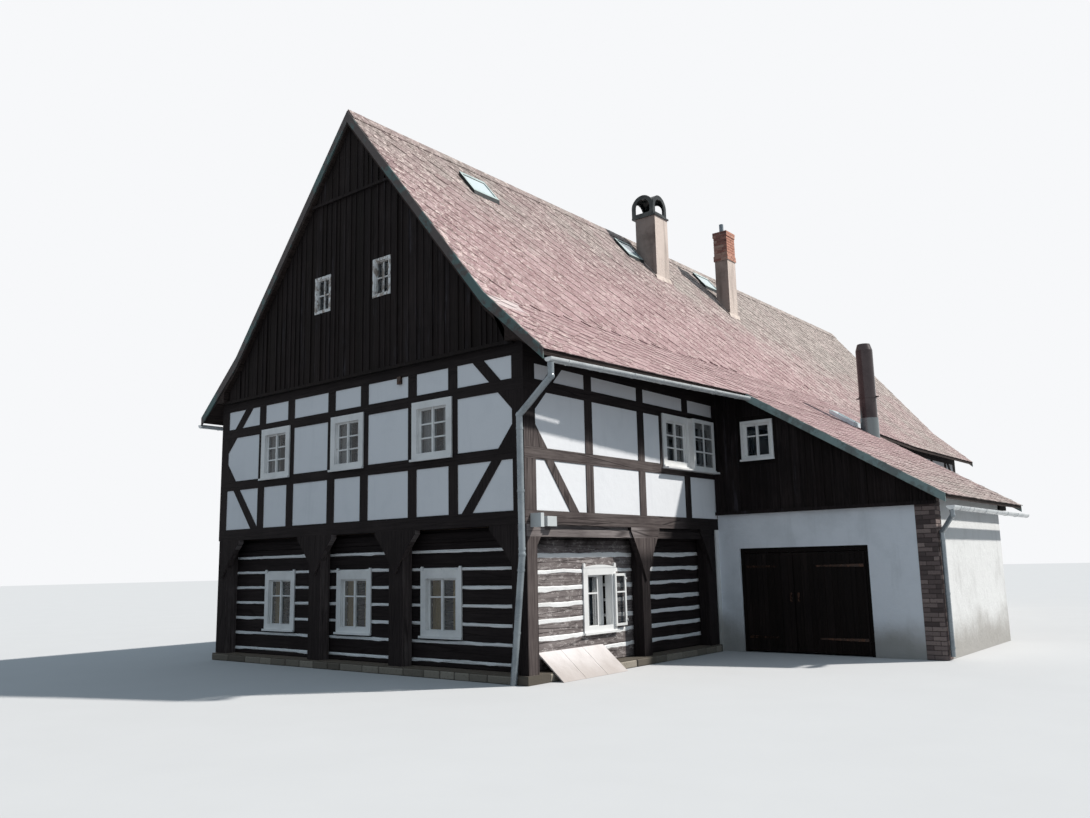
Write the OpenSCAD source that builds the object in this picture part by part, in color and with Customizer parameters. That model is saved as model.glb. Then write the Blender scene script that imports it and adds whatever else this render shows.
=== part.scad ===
// Half timbered house on a log and post ground storey, with a lean-to garage.
// Millimetres, +Z up. X runs along the front gable, Y runs back along the ridge.
// The origin is on the ground, at the middle of the front gable's face.

/* [House] */
// Width of the gable over the upper storey's timbers
house_w = 8000; // [7900:50:8100]
// Length of the house from gable face to gable face
house_l = 22950; // [22000:50:24000]
// Height of the ridge
ridge_z = 10060; // [9900:20:10300]
// Underside of the upper storey's sill beam
sill_z = 2290; // [2250:10:2330]
// Top of the wall plate that carries the roof
plate_z = 5060; // [5040:10:5080]
// Height of the stone plinth
plinth_h = 130; // [80:10:180]

/* [Timber frame] */
// Width of a post or rail on its face
post_w = 200; // [160:10:220]
// Depth of posts and rails through the wall
frame_d = 180; // [150:10:200]
// Height of the sill beam
sill_h = 210; // [180:10:220]
// Depth of sill beam and wall plate
beam_d = 230; // [200:10:240]
// Height of the wall plate over the gables
plate_h = 200; // [160:10:220]
// Height of the wall plate along the eaves
eave_plate_h = 320; // [280:10:340]
// Height of the lower and the upper rail
rail_h = 180; // [150:10:200]
// How far the plaster stands back from the timber faces
infill_set = 12; // [0:2:40]
// Thickness of the infill
infill_t = 140; // [100:10:160]

/* [Ground storey] */
// How far the log wall stands back behind the posts' faces
log_set = 260; // [250:5:280]
// Thickness of the logs
log_t = 200; // [160:10:220]
// Height of a mortar joint between logs
joint_h = 45; // [30:5:60]
// Width of a free standing post
prop_w = 330; // [300:10:360]
// Thickness of the masonry walls
masonry_t = 360; // [300:10:400]

/* [Roof] */
// Half width at which the slope breaks
break_x = 3350; // [3250:10:3400]
// Height of the break in the slope
break_z = 5900; // [5850:10:5980]
// Half width at the eaves
eave_x = 4530; // [4480:10:4600]
// Height of the roof surface at the eaves
eave_z = 4810; // [4800:10:4860]
// Overhang at the gables
verge = 150; // [120:10:180]
// Vertical thickness of the roof
roof_t = 260; // [240:10:280]

/* [Lean-to] */
// Front face of the lean-to
lean_y = 5860; // [5840:10:5880]
// Length of the lean-to along the house
lean_l = 4340; // [4200:20:4400]
// Outer face of the lean-to's side wall
lean_x = 8080; // [7980:10:8180]
// Half width reached by the lean-to's eave
lean_eave_x = 8330; // [8280:10:8380]
// Thickness of the lean-to's walls
lean_t = 300; // [240:10:320]
// Height of the masonry under the boards
lean_wall_h = 2600; // [2550:10:2640]
// Overhang of its roof past the front and the far wall
lean_verge = [190, 950];
// Garage opening, left and right edge
gate_x = [4430, 6900];
// Height of the garage opening
gate_h = 1920; // [1900:10:2000]
// Where the two garage leaves meet
gate_meet = 5480; // [5400:10:5700]

/* [Hidden] */
half = house_w / 2;
corner = [230, 270];
sill_top = sill_z + sill_h;
rail_z = [3270, 4320];
row_z = [rail_z[0] + rail_h, rail_z[1]];
gable_posts = [-2625, -1715, -517, 383, 1589, 2525];
gable_window_bays = [0, 2, 4];
segment_ends = [0, 5970, 11630, 17290, house_l];
segment_posts = [0.276, 0.537, 0.799];
segment_windows = [[0.670, 0.803], [0.832, 0.954]];
log_face = half - log_set;
log_inner = log_face - log_t;
log_end_right = 5740;
log_end_left = 11700;
front_props = [-940, 1185];
side_prop_w = 240;
side_props = [3225];
left_props = [3225, 5900, 8700];
prop_v = [20, 230];
corner_post_w = 300;
knee_v = [-10, 100];
ground_window = [740, 950];
ground_window_z = 620;
front_ground_windows = [-2280, -140, 2005];
right_ground_windows = [2170];
left_ground_windows = [2170, 4600, 7300];
barn_window = [760, 800];
barn_window_z = 900;
barn_windows_right = [13600, 17000, 20400];
barn_windows_left = [15400, 18200, 21000];
barn_windows_back = [-1900, 1900];
entry = [12300, 13300];
entry_h = 2000;
attic_windows = [-760, 865];
attic_window = [400, 640];
attic_window_z = 6400;
lean_window = [4640, 5255];
lean_window_z = [3590, 4330];
lean_slope = 0.6125;
lean_c = 7816;
lean_roof_t = 150;
lean_start = 4840;
pier_x = 7750;
chimney_a = [500, 1080, 8800, 9400];
chimney_b = [1010, 1400, 12040, 12500];
shaft_top = 10400;
brick_top = 10800;
hood_centre = [735, 9095];
hood_r = 320;
steep = (ridge_z - break_z) / break_x;
kick = (break_z - eave_z) / (eave_x - break_x);
skylights = [[480, 900, 2300, 3050], [330, 760, 8050, 8720], [260, 640, 12100, 12950]];
low_skylight = [4560, 5140, 10560, 11060];
curb_h = 120;
flue = [5420, 10750];
flue_r = 190;
storm_window = [4820, 5630];

// Box given by its ranges along X, Y and Z
module span(x, y, z) {
    translate([x[0], y[0], z[0]]) cube([x[1] - x[0], y[1] - y[0], z[1] - z[0]]);
}

// Extrudes an outline drawn in X and Z over a range of Y
module sheet(y) {
    translate([0, y[1], 0]) rotate([90, 0, 0]) linear_extrude(y[1] - y[0]) children();
}

// Places on the four walls: X runs along the wall, Y runs inwards from its face
module on_back() { translate([0, house_l, 0]) mirror([0, 1, 0]) children(); }
module on_right() { translate([half, 0, 0]) rotate([0, 0, 90]) children(); }
module on_left() { mirror([1, 0, 0]) on_right() children(); }

// Heights of the two faces of each mortar joint
function joints(first, pitch, n) = [for (k = [0:n - 1]) [first + k * pitch - joint_h / 2,
    first + k * pitch + joint_h / 2]];
front_joints = joints(232, 285, 7);
side_joints = joints(349, 247.5, 7);

// Positions of the posts and the windows in one segment of a long wall
function at(k, f) = segment_ends[k] + 2 * round(f * (segment_ends[k + 1] - segment_ends[k]) / 2);
function posts_of(ks) = [for (k = ks) each [for (f = segment_posts) at(k, f)]];
// The last pair stands clear of the braces at the far corner
function windows_of(ks) = [for (k = ks) let (shift = k == 3 ? 400 : 0)
    each [for (w = segment_windows) [at(k, w[0]) - shift, at(k, w[1]) - shift]]];
side_windows_right = windows_of([0, 2, 3]);
side_windows_left = windows_of([0, 1, 2, 3]);
boundary_posts = [for (k = [1:3]) segment_ends[k]];

// Ground storey

module wall_openings(centres, size, z, v) {
    for (u = centres)
        span([u - size[0] / 2, u + size[0] / 2], v, [z, z + size[1]]);
}

plate_drop = 205;

module log_courses(u, gaps) {
    bottoms = concat([plinth_h], [for (g = gaps) g[1]]);
    tops = concat([for (g = gaps) g[0]], [sill_z - plate_drop]);
    hew = 14;
    for (k = [0:len(tops) - 1])
        translate([u[0], log_set, 0]) rotate([90, 0, 90]) linear_extrude(u[1] - u[0])
            polygon([[hew, bottoms[k]], [0, bottoms[k] + hew], [0, tops[k] - hew], [hew, tops[k]],
                [log_t, tops[k]], [log_t, bottoms[k]]]);
}

module log_wall(u, gaps, windows) {
    difference() {
        union() {
            log_courses(u, gaps);
            span(u, [log_set - 20, log_set + log_t], [sill_z - plate_drop, sill_z - 60]);
            span(u, [log_set + 40, log_set + log_t], [sill_z - 60, sill_z]);
        }
        wall_openings(windows, ground_window, ground_window_z, [log_set - 30, log_set + log_t + 10]);
    }
}

module mortar_strips(u, gaps, windows) {
    difference() {
        for (g = gaps)
            span(u, [log_set + 12, log_set + log_t - 12], g);
        wall_openings(windows, ground_window, ground_window_z, [log_set, log_set + log_t]);
    }
}

module log_wall_front() {
    color("#2b2622") difference() {
        log_wall([-log_face, log_face], front_joints, front_ground_windows);
        for (s = [0, 1]) mirror([s, 0, 0])
            span([half - corner_post_w, half], [0, log_set], [0, sill_z]);
    }
}

module log_wall_right() {
    color("#4a423b") on_right()
        log_wall([log_set + log_t, log_end_right], side_joints, right_ground_windows);
}

module log_wall_left() {
    color("#2b2622") on_left()
        log_wall([log_set + log_t, log_end_left], side_joints, left_ground_windows);
}

module log_mortar() {
    color("#e8e6e0") {
        mortar_strips([-log_face, log_face], front_joints, front_ground_windows);
        on_right() mortar_strips([log_set + log_t, log_end_right], side_joints, right_ground_windows);
        on_left() mortar_strips([log_set + log_t, log_end_left], side_joints, left_ground_windows);
    }
}

// Edge of a knee brace: a shallow arc from its foot at the post to its head under the sill
function knee_edge(foot, head, bow) = [for (i = [0:6]) let (t = i / 6)
    [foot[0] + (head[0] - foot[0]) * t, foot[1] + (head[1] - foot[1]) * t]
    + bow * sin(180 * t) * [-(head[1] - foot[1]), head[0] - foot[0]] / norm(head - foot)];

// A post with the braces that spread from it to the sill beam
module prop(u, w, foot_z, spread, sides = [-1, 1], v = prop_v) {
    span([u - w / 2, u + w / 2], v, [plinth_h, sill_z]);
    for (s = sides)
        sheet(knee_v) polygon(concat([[u, sill_z], [u, foot_z]],
            knee_edge([u + s * 15, foot_z], [u + s * spread, sill_z - 60], s * 22),
            [[u + s * spread, sill_z]]));
}

module props_front() {
    color("#211d1a") {
        for (u = front_props)
            prop(u, prop_w, 1600, 490);
        for (s = [-1, 1])
            prop(s * (half - corner_post_w / 2), corner_post_w, 1560, 560, [-s], [20, log_set]);
    }
}

// Plate that the side posts carry under the sill beam, with a slot over it
module side_plate(end) {
    span([log_set, end], [prop_v[0], 140], [2110, 2230]);
    span([log_set, end], [60, 140], [2230, sill_z]);
}

module props_right() {
    color("#4a423b") on_right() {
        for (u = side_props)
            prop(u, side_prop_w, 1390, 450);
        prop(5560, prop_w, 1500, 420, [-1]);
        corner_knee();
        side_plate(5560);
    }
}

// Short knee from the back of the corner post to the sill beam
module corner_knee() {
    foot_z = 1990;
    reach = log_set + 200;
    sheet([0, knee_v[1]]) polygon(concat([[log_set, sill_z], [log_set, foot_z]],
        knee_edge([log_set + 15, foot_z], [reach, sill_z - 60], 10), [[reach, sill_z]]));
}

module props_left() {
    color("#2b2622") on_left() {
        for (u = left_props)
            prop(u, side_prop_w, 1390, 450);
        prop(11530, prop_w, 1500, 420, [-1]);
        corner_knee();
        side_plate(11530);
    }
}

module plinth_front() {
    color("#8a8378") span([-half - 30, half + 30], [-30, 480], [0, plinth_h]);
}

module plinth_sides() {
    color("#8a8378") {
        on_right() span([480, log_end_right], [-30, 480], [0, plinth_h]);
        on_left() span([480, log_end_left], [-30, 480], [0, plinth_h]);
    }
}

module plinth_skirt() {
    sheet_w = 550;
    color("#dedad2") for (k = [0:2])
        translate([0, 545 + k * (sheet_w + 8), 0]) sheet([0, sheet_w])
            polygon([[log_face + 4, 400], [log_face + 4, 370], [half + 195, 0], [half + 225, 0]]);
}

module masonry_right() {
    color("#e4e2dc") on_right() difference() {
        span([log_end_right, house_l], [0, masonry_t], [0, sill_z]);
        wall_openings(barn_windows_right, barn_window, barn_window_z, [-10, masonry_t + 10]);
    }
}

module masonry_left() {
    color("#e4e2dc") on_left() difference() {
        span([log_end_left, house_l], [0, masonry_t], [0, sill_z]);
        wall_openings(barn_windows_left, barn_window, barn_window_z, [-10, masonry_t + 10]);
        span(entry, [-10, masonry_t + 10], [-10, entry_h]);
    }
}

module masonry_back() {
    color("#e4e2dc") on_back() difference() {
        span([-half + masonry_t, half - masonry_t], [0, masonry_t], [0, sill_z]);
        wall_openings(barn_windows_back, barn_window, barn_window_z, [-10, masonry_t + 10]);
    }
}

// Floors

module chimney_holes() {
    for (c = [chimney_a, chimney_b])
        span([c[0], c[1]], [c[2], c[3]], [-10, ridge_z]);
}

module ground_floor() {
    barn_inner = half - masonry_t;
    color("#7d7263") difference() {
        union() {
            span([-log_inner, log_inner], [log_set + log_t, house_l - masonry_t], [plinth_h, 250]);
            span([0, barn_inner], [log_end_right, house_l - masonry_t], [plinth_h, 250]);
            span([-barn_inner, 0], [log_end_left, house_l - masonry_t], [plinth_h, 250]);
        }
        chimney_holes();
    }
}

module upper_floor() {
    color("#6b5a48") difference() {
        span([-half + beam_d, half - beam_d], [beam_d, house_l - beam_d], [sill_z, sill_top]);
        chimney_holes();
    }
}

module attic_floor() {
    color("#6b5a48") difference() {
        span([-half + beam_d, half - beam_d], [beam_d, house_l - beam_d], [plate_z - plate_h, plate_z]);
        chimney_holes();
    }
}

// Timber frames of the upper storey

// Braces that rise and fall from a corner post at u towards side s
module corner_struts(u, s, top) {
    sheet([0, frame_d]) {
        polygon([[u, 4030], [u, row_z[1] + 10], [u + s * 60, row_z[1] + 10],
            [u + s * (top - 4290), top], [u + s * (top - 4050), top]]);
        polygon([[u, row_z[0] - 10], [u, 3800], [u + s * 1060, sill_top], [u + s * 835, sill_top],
            [u + s * 87, row_z[0] - 10]]);
    }
}

module posts_and_rails(u, posts, top) {
    for (p = posts)
        span([p - post_w / 2, p + post_w / 2], [0, frame_d], [sill_top, top]);
    for (z = rail_z)
        span(u, [0, frame_d], [z, z + rail_h]);
}

module gable_frame() {
    top = plate_z - plate_h;
    inner = half - corner[0];
    span([-half, half], [0, beam_d], [sill_z, sill_top]);
    span([-half, half], [0, beam_d], [top, plate_z]);
    for (s = [-1, 1]) {
        span(s > 0 ? [inner, half] : [-half, -inner], [0, corner[1]], [sill_top, top]);
        corner_struts(s * inner, -s, top);
    }
    posts_and_rails([-inner, inner], gable_posts, top);
}

module side_openings(windows) {
    for (w = windows)
        span(w, [-10, frame_d + 10], row_z);
}

module side_frame(windows) {
    u = [corner[1], house_l - corner[1]];
    top = plate_z - eave_plate_h;
    span([beam_d, house_l - beam_d], [0, beam_d], [sill_z, sill_top]);
    difference() {
        span([beam_d, house_l - beam_d], [0, beam_d], [top, plate_z]);
        for (e = [[0, corner[1]], [u[1], house_l]])
            span(e, [-10, beam_d + 10], [top - 10, plate_z - plate_h]);
    }
    difference() {
        union() {
            posts_and_rails(u, concat(posts_of([0, 1, 2, 3]), boundary_posts), top);
            for (w = windows)
                span([w[0] - 170, w[0]], [0, frame_d], row_z);
        }
        side_openings(windows);
    }
    corner_struts(u[0], 1, top);
    corner_struts(u[1], -1, top);
}

module frame_front() { color("#26211e") gable_frame(); }
module frame_back() { color("#26211e") on_back() gable_frame(); }
module frame_right() { color("#4a423b") on_right() side_frame(side_windows_right); }
module frame_left() { color("#4a423b") on_left() side_frame(side_windows_left); }

function gable_window(b) = [gable_posts[b] + post_w / 2, gable_posts[b + 1] - post_w / 2];

module gable_infill() {
    inner = half - corner[0];
    difference() {
        span([-inner, inner], [infill_set, infill_set + infill_t], [sill_top, plate_z - plate_h]);
        gable_frame();
        for (b = gable_window_bays)
            span(gable_window(b), [-10, frame_d + 10], row_z);
    }
}

module side_infill(windows) {
    difference() {
        span([corner[1], house_l - corner[1]], [infill_set, infill_set + infill_t],
            [sill_top, plate_z - eave_plate_h]);
        side_frame(windows);
        side_openings(windows);
    }
}

module infill_front() { color("#f0efec") gable_infill(); }
module infill_back() { color("#f0efec") on_back() gable_infill(); }
module infill_right() { color("#f0efec") on_right() side_infill(side_windows_right); }
module infill_left() { color("#f0efec") on_left() side_infill(side_windows_left); }

// Roof

function steep_z(x) = ridge_z - steep * x;
function kick_z(x) = break_z - kick * (x - break_x);
function lean_z(x) = lean_c - lean_slope * x;
seat_x = half - beam_d;
// Heights taken up to the next tenth, for pieces that lie on a slope
function above(z) = ceil(10 * z) / 10;

// Surface above the lean-to: a flatter kick down to lean_start, then the lean-to's own slope
function joined_z(x) = x > lean_start ? lean_z(x)
    : break_z + (lean_z(lean_start) - break_z) * (x - break_x) / (lean_start - break_x);

module roof_section() {
    polygon([[0, ridge_z], [break_x, break_z], [eave_x, eave_z], [eave_x, eave_z - 90],
        [half, plate_z], [seat_x, plate_z], [seat_x, kick_z(seat_x) - roof_t],
        [break_x, break_z - roof_t], [0, ridge_z - roof_t]]);
}

module gable_triangle() {
    polygon([[seat_x, plate_z], [seat_x, kick_z(seat_x) - roof_t], [break_x, break_z - roof_t],
        [0, ridge_z - roof_t], [-break_x, break_z - roof_t], [-seat_x, kick_z(seat_x) - roof_t],
        [-seat_x, plate_z]]);
}

module skylight_holes(list) {
    for (s = list)
        span([s[0], s[1]], [s[2], s[3]], [0, ridge_z + 10]);
}

// Cross section of the right kick; share is 0 at the free eave and 1 where the lean-to joins
function kick_ring(y, share) = let (x = eave_x + share * (lean_start - eave_x),
    z = eave_z + share * (lean_z(lean_start) - eave_z))
    [for (p = [[break_x, break_z], [x, z], [x, z - 90], [half, plate_z], [seat_x, plate_z],
        [seat_x, kick_z(seat_x) - roof_t], [break_x, break_z - roof_t]]) [p[0], y, p[1]]];

// The right kick flattens and widens towards the lean-to, and turns back beyond it
module right_kick() {
    steps = 6;
    turn_l = lean_span[0] + verge;
    shares = concat([for (i = [0:steps]) [-verge + turn_l * i / steps, i / steps]],
        [for (i = [0:steps]) [lean_span[1] + turn_l * i / steps, 1 - i / steps]],
        [[house_l + verge, 0]]);
    last = 7 * (len(shares) - 1);
    polyhedron([for (s = shares) each kick_ring(s[0], s[1])],
        concat([[0, 1, 2, 3, 4, 5, 6]], [[for (j = [6:-1:0]) last + j]],
            [for (i = [0:len(shares) - 2]) for (j = [0:6]) let (a = 7 * i + j, b = 7 * i + (j + 1) % 7)
                each [[b, a, a + 7], [b, a + 7, b + 7]]]));
}

lean_span = [lean_y - lean_verge[0], lean_y + lean_l + lean_verge[1]];

module roof_right() {
    color("#a98a84") difference() {
        union() {
            sheet([-verge, house_l + verge]) polygon([[0, ridge_z], [break_x, break_z],
                [break_x, break_z - roof_t], [0, ridge_z - roof_t]]);
            right_kick();
        }
        span([half, lean_start + 10], lean_span, [plate_z - 500, break_z]);
        chimney_holes();
        skylight_holes(skylights);
    }
}

module roof_left() {
    color("#a98a84") mirror([1, 0, 0]) sheet([-verge, house_l + verge]) roof_section();
}

module ridge_cap() {
    reach = 150;
    rise = 30;
    foot = above(steep_z(reach));
    color("#8d7a74") sheet([-verge, house_l + verge])
        polygon([[0, ridge_z], [reach, foot], [reach, foot + rise],
            [0, ridge_z + rise], [-reach, foot + rise], [-reach, foot]]);
}

module verge_outline() {
    lip = 20;
    depth = 200;
    polygon([[0, ridge_z + lip], [break_x, break_z + lip], [eave_x, eave_z + lip],
        [eave_x, eave_z - 150], [break_x, break_z - depth], [0, ridge_z - depth]]);
}

module verge_boards() {
    board = 25;
    lean_depth = 135;
    color("#5f7672") {
        for (m = [0, 1]) mirror([m, 0, 0]) {
            sheet([-verge - board, -verge]) verge_outline();
            sheet([house_l + verge, house_l + verge + board]) verge_outline();
        }
        for (y = [lean_span[0] - board, lean_span[1]])
            sheet([y, y + board]) slope_strip([lean_start, lean_eave_x], -lean_depth, 15);
    }
}

module attic_gable() {
    board = 40;
    difference() {
        union() {
            sheet([-board, 0]) gable_triangle();
            sheet([-board - 22, -board]) intersection() {
                gable_triangle();
                translate([-half, 8480]) square([house_w, 2000]);
            }
            attic_truss();
        }
        for (u = attic_windows)
            span([u - attic_window[0] / 2, u + attic_window[0] / 2], [-100, 200],
                [attic_window_z, attic_window_z + attic_window[1]]);
    }
}

// Rafters, collar beam and window posts that carry the gable boards
module attic_truss() {
    depth = 140;
    sheet([0, depth]) difference() {
        gable_triangle();
        polygon([[-break_x + 60, plate_z - 1], [break_x - 60, plate_z - 1],
            [break_x - 160, break_z - roof_t - 260], [0, ridge_z - roof_t - 360],
            [-break_x + 160, break_z - roof_t - 260]]);
    }
    span([-1860, 1860], [0, depth], [7300, 7460]);
    for (u = attic_windows)
        for (s = [-1, 1])
            span([u + s * 290 - 70, u + s * 290 + 70], [0, depth], [plate_z, 7300]);
}

module attic_boards_front() { color("#201c1b") attic_gable(); }
module attic_boards_back() { color("#201c1b") on_back() attic_gable(); }

// Lean-to

lean_far = lean_y + lean_l;

// Outline between two heights over the roof's surface at the two ends of x
module slope_strip(x, low, high) {
    polygon([[x[0], joined_z(x[0]) + low], [x[1], joined_z(x[1]) + low],
        [x[1], joined_z(x[1]) + high], [x[0], joined_z(x[0]) + high]]);
}

module lean_roof() {
    color("#a08a84") difference() {
        sheet(lean_span) polygon([[half, joined_z(half)], [lean_start, lean_z(lean_start)],
            [lean_eave_x, lean_z(lean_eave_x)], [lean_eave_x, lean_z(lean_eave_x) - 70],
            [lean_x + 40, lean_under(lean_x + 40)], [half, lean_under(half)]]);
        translate([flue[0], flue[1], 0]) cylinder(r = flue_r, h = ridge_z, $fn = 48);
        skylight_holes([low_skylight]);
    }
}

function lean_under(x) = lean_z(x) - lean_roof_t;

module lean_boarding(window) {
    difference() {
        sheet([-40, 0]) polygon([[half, lean_wall_h], [lean_x + 40, lean_wall_h],
            [lean_x + 40, lean_under(lean_x + 40)], [half, lean_under(half)]]);
        if (window)
            span(lean_window, [-50, 10], lean_window_z);
    }
}

// Ends of the purlins under the far overhang
module lean_purlins() {
    reach = 60;
    for (x = [5050, 6600, 7980])
        sheet([lean_far + 40, lean_span[1] - 30]) polygon([[x - reach, lean_under(x - reach)],
            [x + reach, lean_under(x + reach)], [x + reach, lean_under(x) - 160],
            [x - reach, lean_under(x) - 160]]);
}

module lean_boards() {
    color("#1f1b1b") {
        translate([0, lean_y, 0]) lean_boarding(true);
        translate([0, lean_far, 0]) mirror([0, 1, 0]) lean_boarding(false);
        lean_purlins();
    }
}

module lean_pier_left() {
    color("#d9dbdc") span([half, gate_x[0]], [lean_y, lean_y + lean_t], [0, gate_h]);
}

module lean_pier_right() {
    color("#d9dbdc") span([gate_x[1], pier_x], [lean_y, lean_y + lean_t], [0, gate_h]);
}

module lean_lintel() {
    color("#d9dbdc") span([half, pier_x], [lean_y, lean_y + lean_t], [gate_h, lean_wall_h]);
}

module brick_pier() {
    color("#7a655a") sheet([lean_y, lean_y + lean_t])
        polygon([[pier_x, 0], [lean_x, 0], [lean_x, lean_under(lean_x)], [pier_x, lean_under(pier_x)]]);
}

module lean_side_wall() {
    color("#ecebe6") sheet([lean_y + lean_t, lean_far])
        polygon([[lean_x - lean_t, 0], [lean_x, 0], [lean_x, lean_under(lean_x)],
            [lean_x - lean_t, lean_under(lean_x - lean_t)]]);
}

module lean_back_wall() {
    color("#ecebe6") span([half, lean_x - lean_t], [lean_far - lean_t, lean_far], [0, lean_wall_h]);
}

// Garage

gate_y = lean_y + 60;

// Hinges: an eye on each leaf's strap turns on a pin that a bracket holds on the frame
hinge_y = lean_y + 26;
hinge_x = [gate_x[0] + 74, gate_x[1] - 74];
pin_r = 5;
eye_r = 9;
strap_h = 50;
strap_z = [280, 1570];

module hinge_pins() {
    for (s = [-1, 1], z = strap_z) {
        x = s < 0 ? hinge_x[0] : hinge_x[1];
        bracket_z = z - strap_h / 2 - 13;
        translate([x, hinge_y, bracket_z]) cylinder(r = pin_r, h = strap_h + 25, $fn = 24);
        span(s < 0 ? [x - 40, x + pin_r] : [x - pin_r, x + 40], [hinge_y - 6, gate_y - 20],
            [bracket_z, bracket_z + 12]);
    }
}

module garage_frame() {
    t = 70;
    color("#3a302b") {
        hinge_pins();
        for (x = [[gate_x[0], gate_x[0] + t], [gate_x[1] - t, gate_x[1]]])
            span(x, [gate_y - 20, gate_y + 120], [0, gate_h]);
        span([gate_x[0] + t, gate_x[1] - t], [gate_y - 20, gate_y + 120], [gate_h - 90, gate_h]);
    }
}

leaf_z = [30, gate_h - 100];
leaf_l = [gate_x[0] + 78, gate_meet - 4];
leaf_r = [gate_meet + 4, gate_x[1] - 78];

// Boarded leaf with two battens behind and two strap hinges in front; s is 1 if hinged left
module garage_leaf(x, s) {
    brace_t = 30;
    clear = 0.5;
    edge = s > 0 ? x[0] : x[1];
    tip = edge + s * 0.72 * (x[1] - x[0]);
    pin = s > 0 ? hinge_x[0] : hinge_x[1];
    front = gate_y - 15;
    span(x, [front, gate_y + 15], leaf_z);
    for (z = strap_z) {
        span([x[0] + 30, x[1] - 30], [gate_y + 15, gate_y + 15 + brace_t], [z - 60, z + 60]);
        translate([0, 0, z - strap_h / 2]) difference() {
            union() {
                translate([pin, hinge_y, 0]) cylinder(r = eye_r, h = strap_h, $fn = 32);
                linear_extrude(strap_h) polygon([[edge, front], [edge, hinge_y], [edge + s * 14, hinge_y],
                    [edge + s * 36, front - 8], [tip, front - 8], [tip, front]]);
            }
            translate([pin, hinge_y, -10]) cylinder(r = pin_r + clear, h = strap_h + 20, $fn = 24);
        }
    }
}

module garage_leaf_left() { color("#2b2320") garage_leaf(leaf_l, 1); }
module garage_leaf_right() { color("#2b2320") garage_leaf(leaf_r, -1); }

module entry_door() {
    t = 70;
    color("#4a3b30") on_left() {
        for (u = [[entry[0], entry[0] + t], [entry[1] - t, entry[1]]])
            span(u, [60, 200], [0, entry_h]);
        span([entry[0] + t, entry[1] - t], [60, 200], [entry_h - t, entry_h]);
        span([entry[0] + t, entry[1] - t], [110, 160], [250, entry_h - t]);
        span([entry[0] + t, entry[1] - t], [20, 200], [0, 250]);
    }
}

// Windows

module ring(w, h, t, v) {
    difference() {
        span([-w / 2, w / 2], v, [0, h]);
        span([-w / 2 + t, w / 2 - t], [v[0] - 1, v[1] + 1], [t, h - t]);
    }
}

lining = 45;
stile = 42;
meeting = 25;

// Points of an arc from the angle of a to the angle of b
function arc(centre, r, a, b, n) = [for (i = [0:n]) let (t = a + (b - a) * i / n)
    centre + r * [cos(t), sin(t)]];

// Head of a casing: a low arch between two rounded ears
module casing_head(w) {
    ear = 28;
    rise = 45;
    shoulder = 12;
    inner = w / 2 - 2 * ear;
    sheet([-30, 0]) polygon(concat([[-w / 2, -5]], arc([ear - w / 2, rise], ear, 180, 0, 8),
        [for (i = [-6:6]) [inner * i / 6, shoulder + (rise - shoulder) * cos(15 * i)]],
        arc([w / 2 - ear, rise], ear, 180, 0, 8), [[w / 2, -5]]));
}

// Lining, casing, two sashes and a sill board in an opening of the size w by h; an open window
// has its right sash swung back against the wall
module window_unit(w, h, lap, head, open) {
    inner = w / 2 - lining;
    ring(w, h, lining, [0, 110]);
    translate([0, 0, -lap / 2]) ring(w + 2 * lap, h + 1.2 * lap, lap + lining - 15, [-25, 0]);
    span([-w / 2 - lap - 20, w / 2 + lap + 20], [-60, -25], [-lap / 2 - 5, -lap / 2 + 30]);
    if (head)
        translate([0, 0, h + 0.7 * lap]) casing_head(w + 2 * lap);
    difference() {
        span([-inner, open ? 0 : inner], [25, 60], [lining, h - lining]);
        for (s = [-1, 1])
            span(s < 0 ? [stile - inner, -meeting] : [meeting, inner - stile], [20, 70],
                [lining + stile, h - lining - stile]);
    }
    if (open) translate([w / 2 + 10 + inner / 2, 0, lining]) {
        ring(inner, h - 2 * lining, stile, [-62, -30]);
        for (z = [80, h - 2 * lining - 140])
            span([-inner / 2, -inner / 2 + 35], [-30, -25], [z, z + 60]);
    }
}

module glass_unit(w, h, open) {
    inner = w / 2 - lining;
    z = [lining + stile, h - lining - stile];
    span([stile - inner, -meeting], [38, 44], z);
    if (open)
        translate([w / 2 + 10 + inner / 2, 0, 0]) span([stile - inner / 2, inner / 2 - stile], [-50, -44], z);
    else
        span([meeting, inner - stile], [38, 44], z);
}

// Places a window or its glass in the opening that runs over u and z, at depth v
module place(u, z, v, glass, lap = 90, head = false, open = false) {
    translate([(u[0] + u[1]) / 2, v, z[0]])
        if (glass)
            glass_unit(u[1] - u[0], z[1] - z[0], open);
        else
            window_unit(u[1] - u[0], z[1] - z[0], lap, head, open);
}

module place_all(centres, size, z, v, glass, head = false, open = false) {
    for (u = centres)
        place([u - size[0] / 2, u + size[0] / 2], [z, z + size[1]], v, glass, 90, head, open);
}

// Small fixed window of four panes in the boarded gable
module attic_unit(w, h, glass) {
    frame = 40;
    bar = 24;
    if (glass) {
        span([frame - w / 2, w / 2 - frame], [50, 56], [frame, h - frame]);
    } else {
        ring(w, h, frame, [0, 90]);
        translate([0, 0, -30]) ring(w + 60, h + 60, 50, [-24, 0]);
        span([-bar / 2, bar / 2], [20, 50], [frame, h - frame]);
        span([frame - w / 2, w / 2 - frame], [20, 50], [(h - bar) / 2, (h + bar) / 2]);
    }
}

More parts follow.
